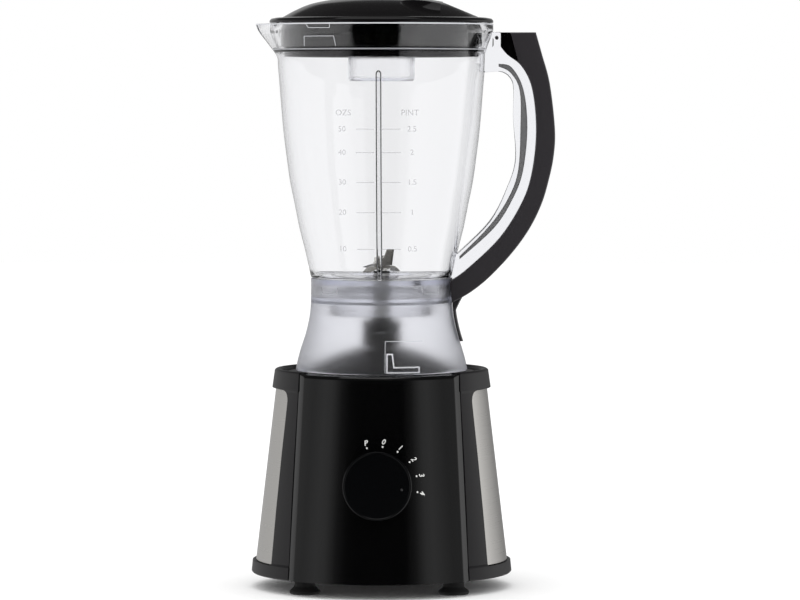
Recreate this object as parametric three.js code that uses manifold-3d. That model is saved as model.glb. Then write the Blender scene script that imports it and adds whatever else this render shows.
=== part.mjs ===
import * as THREE from 'three';
import { ConvexGeometry } from 'three/addons/geometries/ConvexGeometry.js';
import { RoundedBoxGeometry } from 'three/addons/geometries/RoundedBoxGeometry.js';
import { mergeVertices } from 'three/addons/utils/BufferGeometryUtils.js';
import Module from 'manifold-3d';

const wasm = await Module();
wasm.setup();

// Countertop blender: millimetres, +Z up, the front faces -Y, the handle points to +X.
// Everything is built about the spindle axis, and the whole group is then centred on its footprint.

// ---- driving dimensions ----
const footHeight = 10.8; // underside of the base shell above the table
const baseBottomR = 95.8; // base shell, outer radius at its lower edge
const baseTopR = 78.2; // base shell, outer radius at the top of its ring
const baseTopZ = 161; // top of the base ring
const seatZ = 158.6; // level of the seat that the jar stands on
const panelProud = 2.4; // front panel stands this far outside the shell
const panelHalfTop = 57.7; // half width of the front panel at its top
const panelHalfBottom = 65; // half width of the front panel at its bottom
const panelTopZ = 159.4;
const jarFloorZ = 223.4; // underside of the jar's floor
const jarRimZ = 414; // top of the jar's rim
const jarWall = 3; // thickness of the jar's wall
const jarWaistR = 52; // outer radius of the jar where it meets its collar
const jarTopR = 76.2; // outer radius of the jar under its rim
const rimR = 82; // outer radius of the rim
const skirtWaistR = 51.8; // collar under the jar, outer radius at its waist
const skirtFootR = 63.2; // collar, outer radius at its lower edge
const skirtFootZ = 159.6; // lower edge of the collar
const cupR = 25; // measuring cup, outer radius of its body
const cupFloorZ = 372; // underside of the measuring cup
const lidTopZ = 431.5;
const knobR = 24.9;
const knobZ = 81; // height of the knob's centre
const knobDepth = 17;
const shaftR = 4; // motor shaft
const spindleR = 4; // blade spindle
const couplingR = 14;
const inletZ = 32; // height of the cord inlet at the rear

// ---- clearances ----
const gap = 0.3; // between pieces that touch
const run = 0.12; // radial running clearance of a shaft
const slip = 0.5; // between pieces that lift off each other

const baseSlope = (baseBottomR - baseTopR) / (baseTopZ - footHeight);
const shellR = (z) => baseBottomR - baseSlope * (z - footHeight);
const tilt = Math.atan(baseSlope);
const RING = 36; // facets round a large turned piece
const MID = 24;
const SMALL = 14;
const BORE = 18;
const wellR = cupR + 6; // recess in the lid round the cup
const plugR = jarTopR - jarWall; // inside of the jar where the lid's seal sits

// ---- helpers ----

// Welds a geometry, drops collapsed triangles and turns it to face out.
function weld(geometry) {
  const bare = new THREE.BufferGeometry();
  const flat = geometry.index ? geometry.toNonIndexed() : geometry;
  bare.setAttribute('position', flat.getAttribute('position').clone());
  const merged = mergeVertices(bare, 1e-4);
  const index = merged.index.array;
  const kept = [];
  for (let i = 0; i < index.length; i += 3) {
    const [a, b, c] = [index[i], index[i + 1], index[i + 2]];
    if (a !== b && b !== c && a !== c) kept.push(a, b, c);
  }
  const p = merged.getAttribute('position');
  let volume = 0;
  const [va, vb, vc] = [new THREE.Vector3(), new THREE.Vector3(), new THREE.Vector3()];
  for (let i = 0; i < kept.length; i += 3) {
    va.fromBufferAttribute(p, kept[i]);
    vb.fromBufferAttribute(p, kept[i + 1]);
    vc.fromBufferAttribute(p, kept[i + 2]);
    volume += va.dot(vb.cross(vc));
  }
  if (volume < 0) {
    for (let i = 0; i < kept.length; i += 3) {
      [kept[i + 1], kept[i + 2]] = [kept[i + 2], kept[i + 1]];
    }
  }
  merged.setIndex(kept);
  return merged;
}

// A closed body from a geometry, ready for booleans.
function body(geometry) {
  const g = weld(geometry);
  const mesh = new wasm.Mesh({
    numProp: 3,
    vertProperties: new Float32Array(g.getAttribute('position').array),
    triVerts: new Uint32Array(g.index.array),
  });
  mesh.merge();
  return new wasm.Manifold(mesh);
}

// A geometry from a closed body.
function surface(solid) {
  const mesh = solid.getMesh();
  const g = new THREE.BufferGeometry();
  const count = mesh.numProp;
  const position = new Float32Array((mesh.vertProperties.length / count) * 3);
  for (let i = 0; i < position.length / 3; i += 1) {
    for (let k = 0; k < 3; k += 1) position[3 * i + k] = mesh.vertProperties[count * i + k];
  }
  g.setAttribute('position', new THREE.BufferAttribute(position, 3));
  g.setIndex(Array.from(mesh.triVerts));
  return weld(g);
}

const join = (first, ...rest) => rest.reduce((sum, next) => sum.add(next), first);
const cut = (first, ...rest) => rest.reduce((left, next) => left.subtract(next), first);

const P = (r, z) => new THREE.Vector2(r, z);

// A smooth run of profile points through the given ones.
const curve = (points, steps) => new THREE.SplineCurve(points.map(([r, z]) => P(r, z))).getPoints(steps);

// A turned body about the Z axis. A profile that leaves the axis free is closed on itself.
function turned(profile, segments = RING) {
  const points = profile.map((p) => (Array.isArray(p) ? P(p[0], p[1]) : p));
  const ends = [points[0], points[points.length - 1]];
  if (ends.some((p) => p.x > 1e-6)) points.push(points[0].clone());
  return body(new THREE.LatheGeometry(points, segments).rotateX(Math.PI / 2));
}

// A solid between the table-side profile of a wall and the axis.
const tube = (outer, inner, z0, z1, segments = SMALL) =>
  turned([[inner, z0], [outer, z0], [outer, z1], [inner, z1]], segments);

const rod = (r, z0, z1, segments = SMALL) =>
  turned([[0, z0], [r, z0], [r, z1], [0, z1]], segments);

const block = (sx, sy, sz, x = 0, y = 0, z = 0) =>
  body(new THREE.BoxGeometry(sx, sy, sz).translate(x, y, z));

const softBlock = (sx, sy, sz, r, x = 0, y = 0, z = 0) =>
  body(new RoundedBoxGeometry(sx, sy, sz, 1, r).translate(x, y, z));

const hull = (points) => body(new ConvexGeometry(points.map((p) => new THREE.Vector3(...p))));

// A flat outline in the X-Z plane, given thickness along Y and centred on y.
function plate(shape, thickness, y = 0, options = {}) {
  const g = new THREE.ExtrudeGeometry(shape, { depth: thickness, bevelEnabled: false, ...options });
  g.translate(0, 0, -thickness / 2);
  g.rotateX(Math.PI / 2);
  return body(g.translate(0, y, 0));
}

// A flat outline in the X-Y plane, standing from z0 to z1.
function slab(shape, z0, z1, curveSegments = 12) {
  const g = new THREE.ExtrudeGeometry(shape, { depth: z1 - z0, bevelEnabled: false, curveSegments });
  return body(g.translate(0, 0, z0));
}

function outline(points) {
  const s = new THREE.Shape();
  s.setFromPoints(points.map((p) => (Array.isArray(p) ? P(p[0], p[1]) : p)));
  return s;
}

// The same body turned by angles in degrees, then shifted.
function moved(solid, shift, degrees = [0, 0, 0]) {
  const spin = new THREE.Euler(...degrees.map((d) => THREE.MathUtils.degToRad(d)));
  const place = new THREE.Matrix4().makeRotationFromEuler(spin).setPosition(...shift);
  return body(surface(solid).applyMatrix4(place));
}

const turn = (solid, degrees) => moved(solid, [0, 0, 0], [0, 0, degrees]);

// ---- scene graph: the object, the tilted front panel and the tilted rear wall ----

const group = new THREE.Group();

const knobFace = new THREE.Vector3(0, -(shellR(knobZ) + panelProud), knobZ);
const panelFrame = new THREE.Group();
panelFrame.position.copy(knobFace);
panelFrame.rotation.x = Math.PI / 2 - tilt;
group.add(panelFrame);

const rearFrame = new THREE.Group();
rearFrame.position.set(0, shellR(inletZ), inletZ);
rearFrame.rotation.x = tilt - Math.PI / 2;
group.add(rearFrame);

// A named mesh with its own material. Colour, roughness, metalness and opacity come in that order.
function add(name, solid, [color, roughness, metalness = 0, opacity = 1], parent = group) {
  const material = new THREE.MeshStandardMaterial({ color, roughness, metalness });
  material.opacity = opacity;
  material.transparent = opacity < 1;
  const mesh = new THREE.Mesh(surface(solid), material);
  mesh.name = name;
  parent.add(mesh);
  return mesh;
}

// A body in the group's frame from one in a nested frame, for cuts across frames.
function inGroup(solid, frame) {
  frame.updateMatrix();
  return body(surface(solid).applyMatrix4(frame.matrix));
}

const SATIN = 0x2c2b2e;
const GLOSS = 0x0a0a0c;
const STEEL = 0xa8a5a0;
const CLEAR = 0xe4e8f0;
const FROST = 0xc6c9d2;
const RUBBER = 0x141414;
const COPPER = 0xb4693a;
const IRON = 0x5c5e62;
const BRASS = 0xb89a55;

// ---- base ----

// A solid that fills one angle range about the axis. Angles run clockwise from the front.
function sector(from, to, reach = 140, z0 = 0, z1 = 200) {
  const s = new THREE.Shape();
  const steps = 8;
  s.moveTo(0, 0);
  for (let i = 0; i <= steps; i += 1) {
    const a = THREE.MathUtils.degToRad(from + ((to - from) * i) / steps);
    s.lineTo(reach * Math.sin(a), -reach * Math.cos(a));
  }
  return slab(s, z0, z1);
}

const steelDrop = 2.2; // steel face lies this far inside the shell's face
const steelThickness = 0.8;
const steelTopZ = 146.6;
const steelFootZ = 20.6;
const steelFrom = 57.2;
const steelTo = 121;

// The ring shaped space that a steel panel fills, grown by a margin on all sides.
function steelSpace(side, outerLift, innerDrop, margin) {
  const outer = (z) => shellR(z) - steelDrop + outerLift;
  const inner = (z) => shellR(z) - steelDrop - steelThickness - innerDrop;
  const [z0, z1] = [steelFootZ - margin, steelTopZ + margin];
  const ring = turned([[inner(z0), z0], [outer(z0), z0], [outer(z1), z1], [inner(z1), z1]], RING);
  const spread = THREE.MathUtils.radToDeg(margin / 85);
  const range = side > 0 ? [steelFrom - spread, steelTo + spread] : [-steelTo - spread, -steelFrom + spread];
  let solid = ring.intersect(sector(range[0], range[1]));
  for (const edge of [steelFrom - spread, steelTo + spread]) {
    const inward = edge < 90 ? 1 : -1;
    const a = THREE.MathUtils.degToRad(side * edge);
    const corner = cornerCutter(9 + margin, inward * side);
    const centre = [shellR(z1) * Math.sin(a), -shellR(z1) * Math.cos(a)];
    solid = solid.subtract(moved(corner, [centre[0], centre[1], z1], [0, 0, side * edge]));
  }
  return solid;
}

// What a rounded corner takes away: a square with a quarter disc left standing.
function cornerCutter(r, direction) {
  const s = new THREE.Shape();
  s.moveTo(-direction * 3, 3);
  s.lineTo(direction * r, 3);
  s.lineTo(direction * r, 0);
  for (let i = 1; i <= 8; i += 1) {
    const a = (Math.PI / 2) * (i / 8);
    s.lineTo(direction * (r - r * Math.sin(a)), -r + r * Math.cos(a));
  }
  s.lineTo(-direction * 3, -r);
  return plate(s, 40);
}

function frontPanelSolid(margin = 0) {
  const [z0, z1] = [footHeight + 0.2 - margin, panelTopZ + margin];
  const outer = (z) => shellR(z) + panelProud + margin;
  const inner = (z) => shellR(z) - 0.7 - margin;
  const edge = margin > 0 ? 0 : 1.2;
  const ring = turned([
    [inner(z0), z0], [outer(z0), z0], [outer(z1 - edge), z1 - edge],
    [outer(z1) - edge, z1], [inner(z1), z1],
  ], RING);
  const half = (z) => panelHalfBottom + ((panelHalfTop - panelHalfBottom) * (z - footHeight)) / 148.6;
  const flare = 3.2;
  const points = [];
  for (const z of [z0 - 1, z1 + 1]) {
    for (const side of [-1, 1]) {
      points.push([side * (half(z) + margin - 2 * flare), -130, z]);
      points.push([side * (half(z) + margin + 2.2 * flare), -40, z]);
    }
  }
  return ring.intersect(hull(points));
}

// Places on a ring about the axis, one in each quarter, at an angle from the X axis.
function quarterPlaces(r, degrees) {
  const a = THREE.MathUtils.degToRad(degrees);
  const [x, y] = [r * Math.cos(a), r * Math.sin(a)];
  return [[x, y], [-x, y], [x, -y], [-x, -y]];
}

const screwPlaces = quarterPlaces(baseBottomR - 18.6, 16.56);
const footPlaces = quarterPlaces(baseBottomR - 18.7, 45.53);

function baseShell() {
  const skin = 2.8;
  const inside = 5.8;
  const ringIn = 74.6;
  const shell = turned([
    [shellR(14) - inside, footHeight],
    [baseBottomR - 1, footHeight],
    [baseBottomR, footHeight + 1],
    [shellR(20.2) + 0.2, 20.2],
    [shellR(21.4) - 0.4, 21.4],
    [shellR(baseTopZ - 1.4), baseTopZ - 1.4],
    [baseTopR - 1.4, baseTopZ],
    [ringIn, baseTopZ],
    [ringIn - 1.2, baseTopZ - 1.2],
    [ringIn - 1.6, 157],
    [shellR(157) - inside, 153],
    [shellR(15) - inside, 15],
  ], RING);
  const deep = turned([
    [shellR(15.4) - 12, 15.4], [shellR(15.4) - skin, 15.4],
    [shellR(144) - skin, 144], [shellR(144) - 12, 144],
  ], RING);
  const hollows = [sector(-52, 52), sector(126, 234)].map((s) => deep.intersect(s));
  const pockets = [1, -1].map((side) => steelSpace(side, 12, gap, gap));
  const panelPocket = frontPanelSolid(gap);
  const lowered = moved(frontPanelSolid(0), [0, 0, 6]);
  const frontRelief = sector(-44, 44, 120, panelTopZ - 1.2, 170);
  const shaftHole = inGroup(rod(6, -12, 6), panelFrame);
  const inlet = inGroup(rod(7.2, -14, 14), rearFrame);
  let solid = cut(shell, ...hollows, ...pockets, panelPocket, lowered, frontRelief, shaftHole, inlet);
  for (const [x, y] of screwPlaces) {
    const angle = THREE.MathUtils.radToDeg(Math.atan2(y, x));
    const boss = cut(rod(5, 14.6, 30, 12), rod(1.9, 10, 26, 8));
    const web = cut(block(24, 3, 15, 12, 0, 22.3), rod(4, 0, 60));
    const bounded = moved(web, [x, y, 0], [0, 0, angle]).intersect(rod(shellR(30) - 4.2, 14.6, 31, RING));
    solid = join(solid, moved(boss, [x, y, 0]), bounded);
  }
  return solid;
}

function bottomCover() {
  const r = shellR(15) - 5.8 - gap;
  const sheet = turned([
    [0, 11.4], [r - 1, 11.4], [r, 12.4], [r, 14.2], [0, 14.2],
  ], RING);
  const cuts = [];
  for (let i = -3; i <= 3; i += 1) {
    const length = 62 - 5 * Math.abs(i);
    cuts.push(block(length, 4, 8, 0, i * 9, 12.8));
  }
  for (const [x, y] of screwPlaces) cuts.push(moved(rod(2.4, 8, 16, 8), [x, y, 0]));
  for (const [x, y] of footPlaces) cuts.push(moved(rod(5.2, 8, 16, 16), [x, y, 0]));
  return cut(sheet, ...cuts);
}

function foot() {
  return turned([
    [0, 0], [10.6, 0], [11.2, 0.6], [11.2, 2], [7.4, 5.4], [7.4, 11.1],
    [4.9, 11.1], [4.9, 16.4], [0, 16.4],
  ], 16);
}

function deck() {
  const dome = curve([[57.4, seatZ], [52, 162.6], [34, 170.6], [16, 176]], 4);
  const under = curve([[16, 173.4], [34, 168], [51, 160], [57, 155.4]], 3);
  const plateSolid = turned([
    [72.6, 155.2], [72.6, 157.4], [68.6, seatZ], ...dome, [9, 176.8], [9, 173.4], ...under,
  ], RING);
  const lugs = [];
  for (const [x, y] of mountPlaces) {
    lugs.push(moved(cut(rod(6, 147.3, 168, 12), rod(2, 140, 157, 8)), [x, y, 0]));
  }
  const underDome = curve([[51, 160.4], [34, 168.6], [16, 174]], 3);
  const filled = turned([[0, 140], [58, 140], [57, 155.6], ...underDome, [0, 174]]);
  const posts = lugs.map((lug) => lug.intersect(filled));
  const pinHole = moved(rod(2.9, 140, 170), [pinX, pinY, 0]);
  const front = sector(-44, 44, 120, 100, 200).subtract(rod(69.4, 100, 200, RING));
  return cut(join(plateSolid, ...posts), pinHole, front.intersect(tube(90, 69.4, 100, 200, RING)));
}

const mountPlaces = [[36, 30], [-36, 30], [36, -30], [-36, -30]];
const satin = [SATIN, 0.45];
const gloss = [GLOSS, 0.12];
const steel = [STEEL, 0.35, 0.9];
const bright = [STEEL, 0.25, 0.9];
const iron = [IRON, 0.5, 0.6];
const copper = [COPPER, 0.4, 0.6];
const brass = [BRASS, 0.35, 0.75];
const rubber = [RUBBER, 0.8];
const clear = [CLEAR, 0.05, 0, 0.3];
const frost = [FROST, 0.5, 0, 0.6];
const pale = [0xd6d6d4, 0.5];
const dark = [0x262626, 0.55];
const pinR = 61.6;
const pinX = -pinR * Math.SQRT1_2;
const pinY = pinR * Math.SQRT1_2;

add('base_shell', baseShell(), satin);
add('front_panel', frontPanelSolid().subtract(inGroup(rod(5.6, -12, 6), panelFrame)), gloss);
add('steel_panel_left', steelSpace(-1, 0, 0, 0), steel);
add('steel_panel_right', steelSpace(1, 0, 0, 0), steel);
add('top_deck', deck(), satin);
add('bottom_cover', bottomCover(), satin);

const footSolid = foot();
footPlaces.forEach(([x, y], i) => {
  add(`foot_${i + 1}`, footSolid, rubber).position.set(x, y, 0);
});

function screw() {
  const whole = join(rod(1.6, 10.4, 24, 8), rod(3.6, 9.4, 11.1, 12));
  return cut(whole, block(4.4, 0.9, 1.2, 0, 0, 9.6), block(0.9, 4.4, 1.2, 0, 0, 9.6));
}
const screwSolid = screw();
screwPlaces.forEach(([x, y], i) => {
  add(`cover_screw_${i + 1}`, screwSolid, bright).position.set(x, y, 0);
});

function cordInlet() {
  return turned([
    [3.6, -9], [9, -9], [9, -6.6], [6.9, -6.3], [6.9, 0.6], [8.6, 0.6], [8.6, 2.8],
    [6.2, 5], [5.4, 12], [3.6, 12],
  ], SMALL);
}
add('cord_inlet', cordInlet(), rubber, rearFrame);

// ---- knob and switch ----

const pointerAngle = 98; // clockwise from the top, at the highest speed

function knobSolid() {
  const [f, d] = [gap + 0.3, knobDepth];
  const dial = turned([
    [0, f], [knobR - 1.2, f], [knobR, f + 1.2], [knobR - 0.5, d - 1.6], [knobR - 1.8, d - 0.3],
    [knobR - 3, d], [knobR - 5, d - 0.4], [0, d - 0.4],
  ], 32);
  const bore = rod(4.2, -1, 9);
  const dot = moved(rod(1.5, d - 1.2, d + 2, 16), [0, 17.8, 0]);
  const stem = join(rod(3.2, -16.5, 9.5), rod(4.2 + 0.6, 7, 9.5));
  return join(cut(dial, bore, dot), stem);
}
add('speed_knob', knobSolid(), [GLOSS, 0.3], panelFrame).rotation.z = THREE.MathUtils.degToRad(-pointerAngle);

function speedSwitch() {
  const housing = softBlock(34, 34, 20, 2, 0, 0, -23.5);
  const neck = rod(5.2, -14, -2.2);
  const tabs = [-10, 0, 10].map((x) => block(4, 0.8, 9, x, -8, -36));
  return cut(join(housing, neck, ...tabs), rod(3.2 + run, -18, 4));
}
add('speed_switch', speedSwitch(), pale, panelFrame);

// ---- motor ----

const stackZ0 = 66;
const stackZ1 = 104;
const boreR = 20;

function stator() {
  const s = new THREE.Shape();
  const [w, d, r] = [38, 33, 8];
  s.moveTo(-w + r, -d);
  s.lineTo(w - r, -d);
  s.absarc(w - r, -d + r, r, -Math.PI / 2, 0);
  s.lineTo(w, d - r);
  s.absarc(w - r, d - r, r, 0, Math.PI / 2);
  s.lineTo(-w + r, d);
  s.absarc(-w + r, d - r, r, Math.PI / 2, Math.PI);
  s.lineTo(-w, -d + r);
  s.absarc(-w + r, -d + r, r, Math.PI, 1.5 * Math.PI);
  const stack = slab(s, stackZ0, stackZ1, 5);
  const slots = [];
  for (const sx of [-1, 1]) {
    for (const sy of [-1, 1]) slots.push(block(10, 9, 60, sx * 19.5, sy * 19, 85));
  }
  const holes = statorBolts.map(([x, y]) => moved(rod(2.2, 60, 110, 6), [x, y, 0]));
  return cut(stack, rod(boreR, 60, 110, MID), ...slots, ...holes);
}

const statorBolts = [[33, 27], [-33, 27], [33, -27], [-33, -27]];

function fieldCoil(side) {
  const [w, h] = [23.6, stackZ1 - stackZ0 + 16];
  const ring = softBlock(2 * w, 7.6, h, 2.4).subtract(block(2 * w - 17, 30, h - 11));
  const placed = moved(ring, [0, side * 19, (stackZ0 + stackZ1) / 2]);
  return placed.subtract(rod(boreR + 0.2, 40, 130, MID));
}

function armature() {
  const core = rod(boreR - 0.6, stackZ0 + 1, stackZ1 - 1, MID);
  const slots = [];
  for (let i = 0; i < 8; i += 1) slots.push(turn(block(2, 8, 60, 0, boreR - 2, 85), i * 45));
  const turnsLow = turned([[5, 58], [14, 59], [16, 62], [16, 68], [5, 68]], SMALL);
  const turnsHigh = turned([[5, 102], [16, 102], [16, 107], [14, 109.6], [5, 110]], SMALL);
  const winding = rod(14.6, 66, 104, SMALL);
  return cut(join(cut(core, ...slots), winding, turnsLow, turnsHigh), rod(shaftR + gap, 40, 120));
}

function commutator() {
  const drum = tube(11.6, shaftR + gap, 111, 125, MID);
  const slots = [];
  for (let i = 0; i < 8; i += 1) slots.push(turn(block(0.7, 3, 20, 0, 12, 120), i * 45 + 22.5));
  return cut(drum, ...slots);
}

function coolingFan() {
  const hub = tube(9, shaftR + gap, 27, 41);
  const disc = tube(38, 8, 38.6, 41, MID);
  const blades = [];
  for (let i = 0; i < 8; i += 1) {
    blades.push(turn(block(1.6, 27, 12.6, 0, 22.5, 33.3), i * 45 + 14));
  }
  return join(hub, disc, ...blades);
}

function bracket(plateZ, housingZ0, housingZ1, legZ0, legZ1, arms) {
  const [z0, z1] = plateZ;
  const cross = join(block(84, 14, z1 - z0, 0, 0, (z0 + z1) / 2), rod(22, z0, z1, 24));
  const legs = statorBolts.map(([x, y]) => moved(rod(4.4, legZ0, legZ1, 8), [x, y, 0]));
  const bars = [];
  for (const s of [-1, 1]) bars.push(block(11, 68, z1 - z0, s * 34, 0, (z0 + z1) / 2));
  const pads = arms ? mountPlaces.map(([x, y]) => moved(rod(7, z0, z1, 12), [x, y, 0])) : [];
  const housing = rod(14.5, housingZ0, housingZ1, 24);
  const holes = arms ? mountPlaces.map(([x, y]) => moved(rod(2.6, 100, 160, 8), [x, y, 0])) : [];
  const seat = rod(11 + run, housingZ0 + 1.6, housingZ1 + 1, BORE);
  const bolts = statorBolts.map(([x, y]) => moved(rod(1.8, legZ0 - 1, legZ1 + 1, 6), [x, y, 0]));
  const solid = join(cross, housing, ...bars, ...legs, ...pads);
  return cut(solid, seat, rod(6.4, 0, 200), ...holes, ...bolts);
}

function ballBearing(z0) {
  return turned([
    [shaftR + run, z0], [10.2, z0], [11, z0 + 0.8], [11, z0 + 6.2], [10.2, z0 + 7], [shaftR + run, z0 + 7],
  ], BORE);
}

const brushZ = 118;

// Brush parts point along +Y, with their centre line at height 0 of the brush frames.
function brushHolder() {
  const box = block(10, 26, 9, 0, 28, 0);
  const lug = block(14, 8, 25, 0, 32, 7);
  const bore = block(6.6, 40, 5.6, 0, 31, 0);
  return cut(join(box, lug), bore);
}

const carbonBrush = () => block(6, 17, 5, 0, 20.8, 0);

function brushSpring() {
  const [r, wire, coils] = [2, 0.35, 4];
  const path = new THREE.CatmullRomCurve3(
    Array.from({ length: coils * 6 + 1 }, (_, i) => {
      const a = (i / 6) * 2 * Math.PI;
      return new THREE.Vector3(r * Math.cos(a), (i / (coils * 6)) * 9, r * Math.sin(a));
    }),
  );
  const ring = new THREE.Shape();
  ring.absarc(0, 0, wire, 0, 2 * Math.PI);
  const g = new THREE.ExtrudeGeometry(ring, { steps: coils * 6, extrudePath: path, curveSegments: 2 });
  return moved(body(g), [0, 30, 0]);
}

function driveCoupling() {
  const disc = rod(couplingR, 178, 183, MID);
  const hub = rod(7, 177.2, 188.4);
  const dogs = [];
  for (let i = 0; i < 4; i += 1) dogs.push(turn(dogSolid(183, 188.6), i * 90));
  return cut(join(disc, hub, ...dogs), rod(shaftR + gap, 170, 186));
}

// One upright tooth of a coupling, standing from z0 to z1.
function dogSolid(z0, z1) {
  const s = new THREE.Shape();
  const half = THREE.MathUtils.degToRad(19);
  s.absarc(0, 0, couplingR - 0.2, -half, half, false);
  s.absarc(0, 0, 6.5, half, -half, true);
  return slab(s, z0 - 0.5, z1, 3);
}

add('motor_stator', stator(), iron);
add('field_coil_front', fieldCoil(-1), copper);
add('field_coil_rear', fieldCoil(1), copper);
add('motor_bracket_upper', bracket([137, 140.4], 128, 140.4, 104 + gap, 137.4, true), iron);
add('motor_bracket_lower', bracket([48, 51.4], 44, 55, 51, 66 - gap, false), iron);
add('bearing_upper', ballBearing(130), bright);
add('bearing_lower', ballBearing(46.2), bright);

for (const [side, degrees] of [['front', 180], ['rear', 0]]) {
  const brushFrame = new THREE.Group();
  brushFrame.position.z = brushZ;
  brushFrame.rotation.z = THREE.MathUtils.degToRad(degrees);
  group.add(brushFrame);
  add(`brush_holder_${side}`, brushHolder(), brass, brushFrame);
  add(`carbon_brush_${side}`, carbonBrush(), [0x222222, 0.7], brushFrame);
  add(`brush_spring_${side}`, brushSpring(), bright, brushFrame);
}

const grommet = turned([
  [2.6, 140.7], [6.8, 140.7], [5.8, 143.8], [6.8, 147], [2.6, 147],
], 12);
mountPlaces.forEach(([x, y], i) => {
  add(`motor_mount_${i + 1}`, grommet, rubber).position.set(x, y, 0);
});

add('motor_shaft', rod(shaftR, 24, 184.5, BORE), bright);
add('armature', armature(), copper);
add('commutator', commutator(), copper);
add('cooling_fan', coolingFan(), dark);
add('drive_coupling', driveCoupling(), rubber);

function shaftSeal() {
  return turned([
    [shaftR + 0.4, 171.6], [8.7, 171.6], [8.7, 173], [8.4, 176.9], [7.4, 177], [shaftR + 0.4, 174],
  ], SMALL);
}
add('shaft_seal', shaftSeal(), rubber);

function controlBoard() {
  const capacitor = moved(rod(5, 0, 14), [0, -14, -10], [0, -90, 0]);
  const parts = [block(9, 12, 10, -5, -14, 8), block(7, 18, 9, -4, 8, -10), block(5, 8, 16, -3, 18, 9)];
  return join(block(1.6, 56, 44), capacitor, ...parts);
}
add('control_board', controlBoard(), [0x2f6b3a, 0.5]).position.set(-52, 8, 92);

function interlockSwitch() {
  const housing = block(20, 8, 14, 0, 0, 133);
  const button = rod(1.5, 138, 142.4, 8);
  const lugs = [-6, 6].map((x) => block(3, 0.8, 8, x, 0, 123.5));
  return join(housing, button, ...lugs);
}

function interlockPin() {
  return turned([
    [0, 142.7], [2.6, 142.7], [2.6, 143.4], [4.4, 143.4], [4.4, 145.4], [2.6, 145.4],
    [2.6, 158.3], [1.8, 159.2], [0, 159.2],
  ], SMALL);
}
const switchMesh = add('interlock_switch', interlockSwitch(), dark);
switchMesh.position.set(pinX * 0.95, pinY * 0.95, 0);
switchMesh.rotation.z = Math.PI / 4;
add('interlock_pin', interlockPin(), pale).position.set(pinX, pinY, 0);

// ---- jar ----

// The wall swells from waist to rim. Each pair is a share of that growth and its height.
const jarSwell = [[0, 229], [0.165, 246.5], [0.492, 282], [0.736, 317], [0.888, 352], [0.979, 380], [1, 391]];
const jarGrowth = jarTopR - jarWaistR;
const jarOuter = new THREE.SplineCurve(jarSwell.map(([share, z]) => P(jarWaistR + jarGrowth * share, z)));

// Outer radius of the jar's wall at a height, from the same curve as its profile.
function jarR(z) {
  let [low, high] = [0, 1];
  for (let i = 0; i < 24; i += 1) {
    const mid = (low + high) / 2;
    if (jarOuter.getPoint(mid).y < z) low = mid;
    else high = mid;
  }
  return jarOuter.getPoint(low).x;
}

function jarBody() {
  const steps = 6;
  const outerWall = jarOuter.getPoints(steps);
  const innerWall = [];
  for (let i = 0; i <= steps; i += 1) {
    const z = 392 - ((392 - 232) * i) / steps;
    innerWall.push(P(jarR(z) - jarWall, z));
  }
  const outer = turned([
    [0, jarFloorZ], [45.8, jarFloorZ], [45.8, 214], [48.8, 214], [48.8, 227.6], [51.4, 228],
    ...outerWall, [77.2, 395], [81.2, 406], [rimR, 409], [rimR, jarRimZ - 0.6], [rimR - 0.6, jarRimZ],
    [0, jarRimZ],
  ], RING);
  const cavity = turned([
    [0, jarFloorZ + 4], [44.5, jarFloorZ + 4], [48, jarFloorZ + 6], ...innerWall.reverse(),
    [jarR(391) - jarWall, 394], [75.2, 395.6], [79.2, 407], [79.6, 420], [0, 420],
  ], RING);
  const spout = hull([
    [-92.5, 0, 413.9], [-91, 3, 413.9], [-91, -3, 413.9], [-76.5, 0, 389.5],
    [-79, 17, 413.9], [-79, -17, 413.9], [-70, 0, 389.5], [-66, 15, 413.9], [-66, -15, 413.9],
  ]);
  const spoutIn = hull([
    [-89, 0, 416], [-88, 1.6, 416], [-88, -1.6, 416], [-74, 0, 394],
    [-77, 14.5, 416], [-77, -14.5, 416], [-60, 0, 394], [-60, 13, 416], [-60, -13, 416],
  ]);
  const collar = tube(37.8, 34.6, 200, jarFloorZ + 1, MID);
  const below = turned([
    [0, 150], [skirtFootR + 6, 150], [skirtWaistR + gap, 211], [skirtWaistR + gap, 227.6], [0, 227.6],
  ]);
  const frame = cut(handleFrame(), below);
  const ribShape = outline([
    ...innerWall.filter((p) => p.y < 377).map((p) => P(p.x + 1.2, p.y)),
    P(jarR(378) - jarWall - 3, 377.6),
    ...innerWall.filter((p) => p.y < 377).reverse().map((p) => P(p.x - 2.8, p.y)),
    P(44, jarFloorZ + 3.6),
    P(46.6, jarFloorZ + 4.4),
  ]);
  const rib = turn(plate(ribShape, 3.2), -90);
  const holes = [rod(24.2, 200, 232, MID), moved(rod(1.5, -20, 20, 10), pinPlace, [90, 0, 0])];
  const shell = cut(join(outer, frame, spout), cavity, spoutIn);
  return cut(join(shell, collar, rib), ...holes);
}

const frameHalf = 7;
const pinPlace = [84.6, 0, 403.6];
const coverHalf = 12.5;

// Handle outlines in the X-Z plane, from the top down. Depth into the cover is added along X and Z.
const fingerEdge = [
  [91.4, 377.4], [96.9, 369], [96.6, 345], [98.2, 315], [92.2, 294], [79.4, 269.5], [56, 246],
];
const coverInner = [
  [87.5, 397], [92.6, 391], [102.9, 382.5], [110.5, 366], [113.4, 337], [110.8, 308], [103.9, 285],
  [87.3, 258], [63.6, 235], [50, 225],
];
const coverOuter = [
  [113.2, 407.5], [117.6, 392], [123.5, 370], [127.5, 337], [126.4, 317], [122.7, 299], [117.6, 282],
  [108.8, 264], [96.3, 246.5], [80.1, 229], [66, 217.5], [52, 209.5],
];

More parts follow.
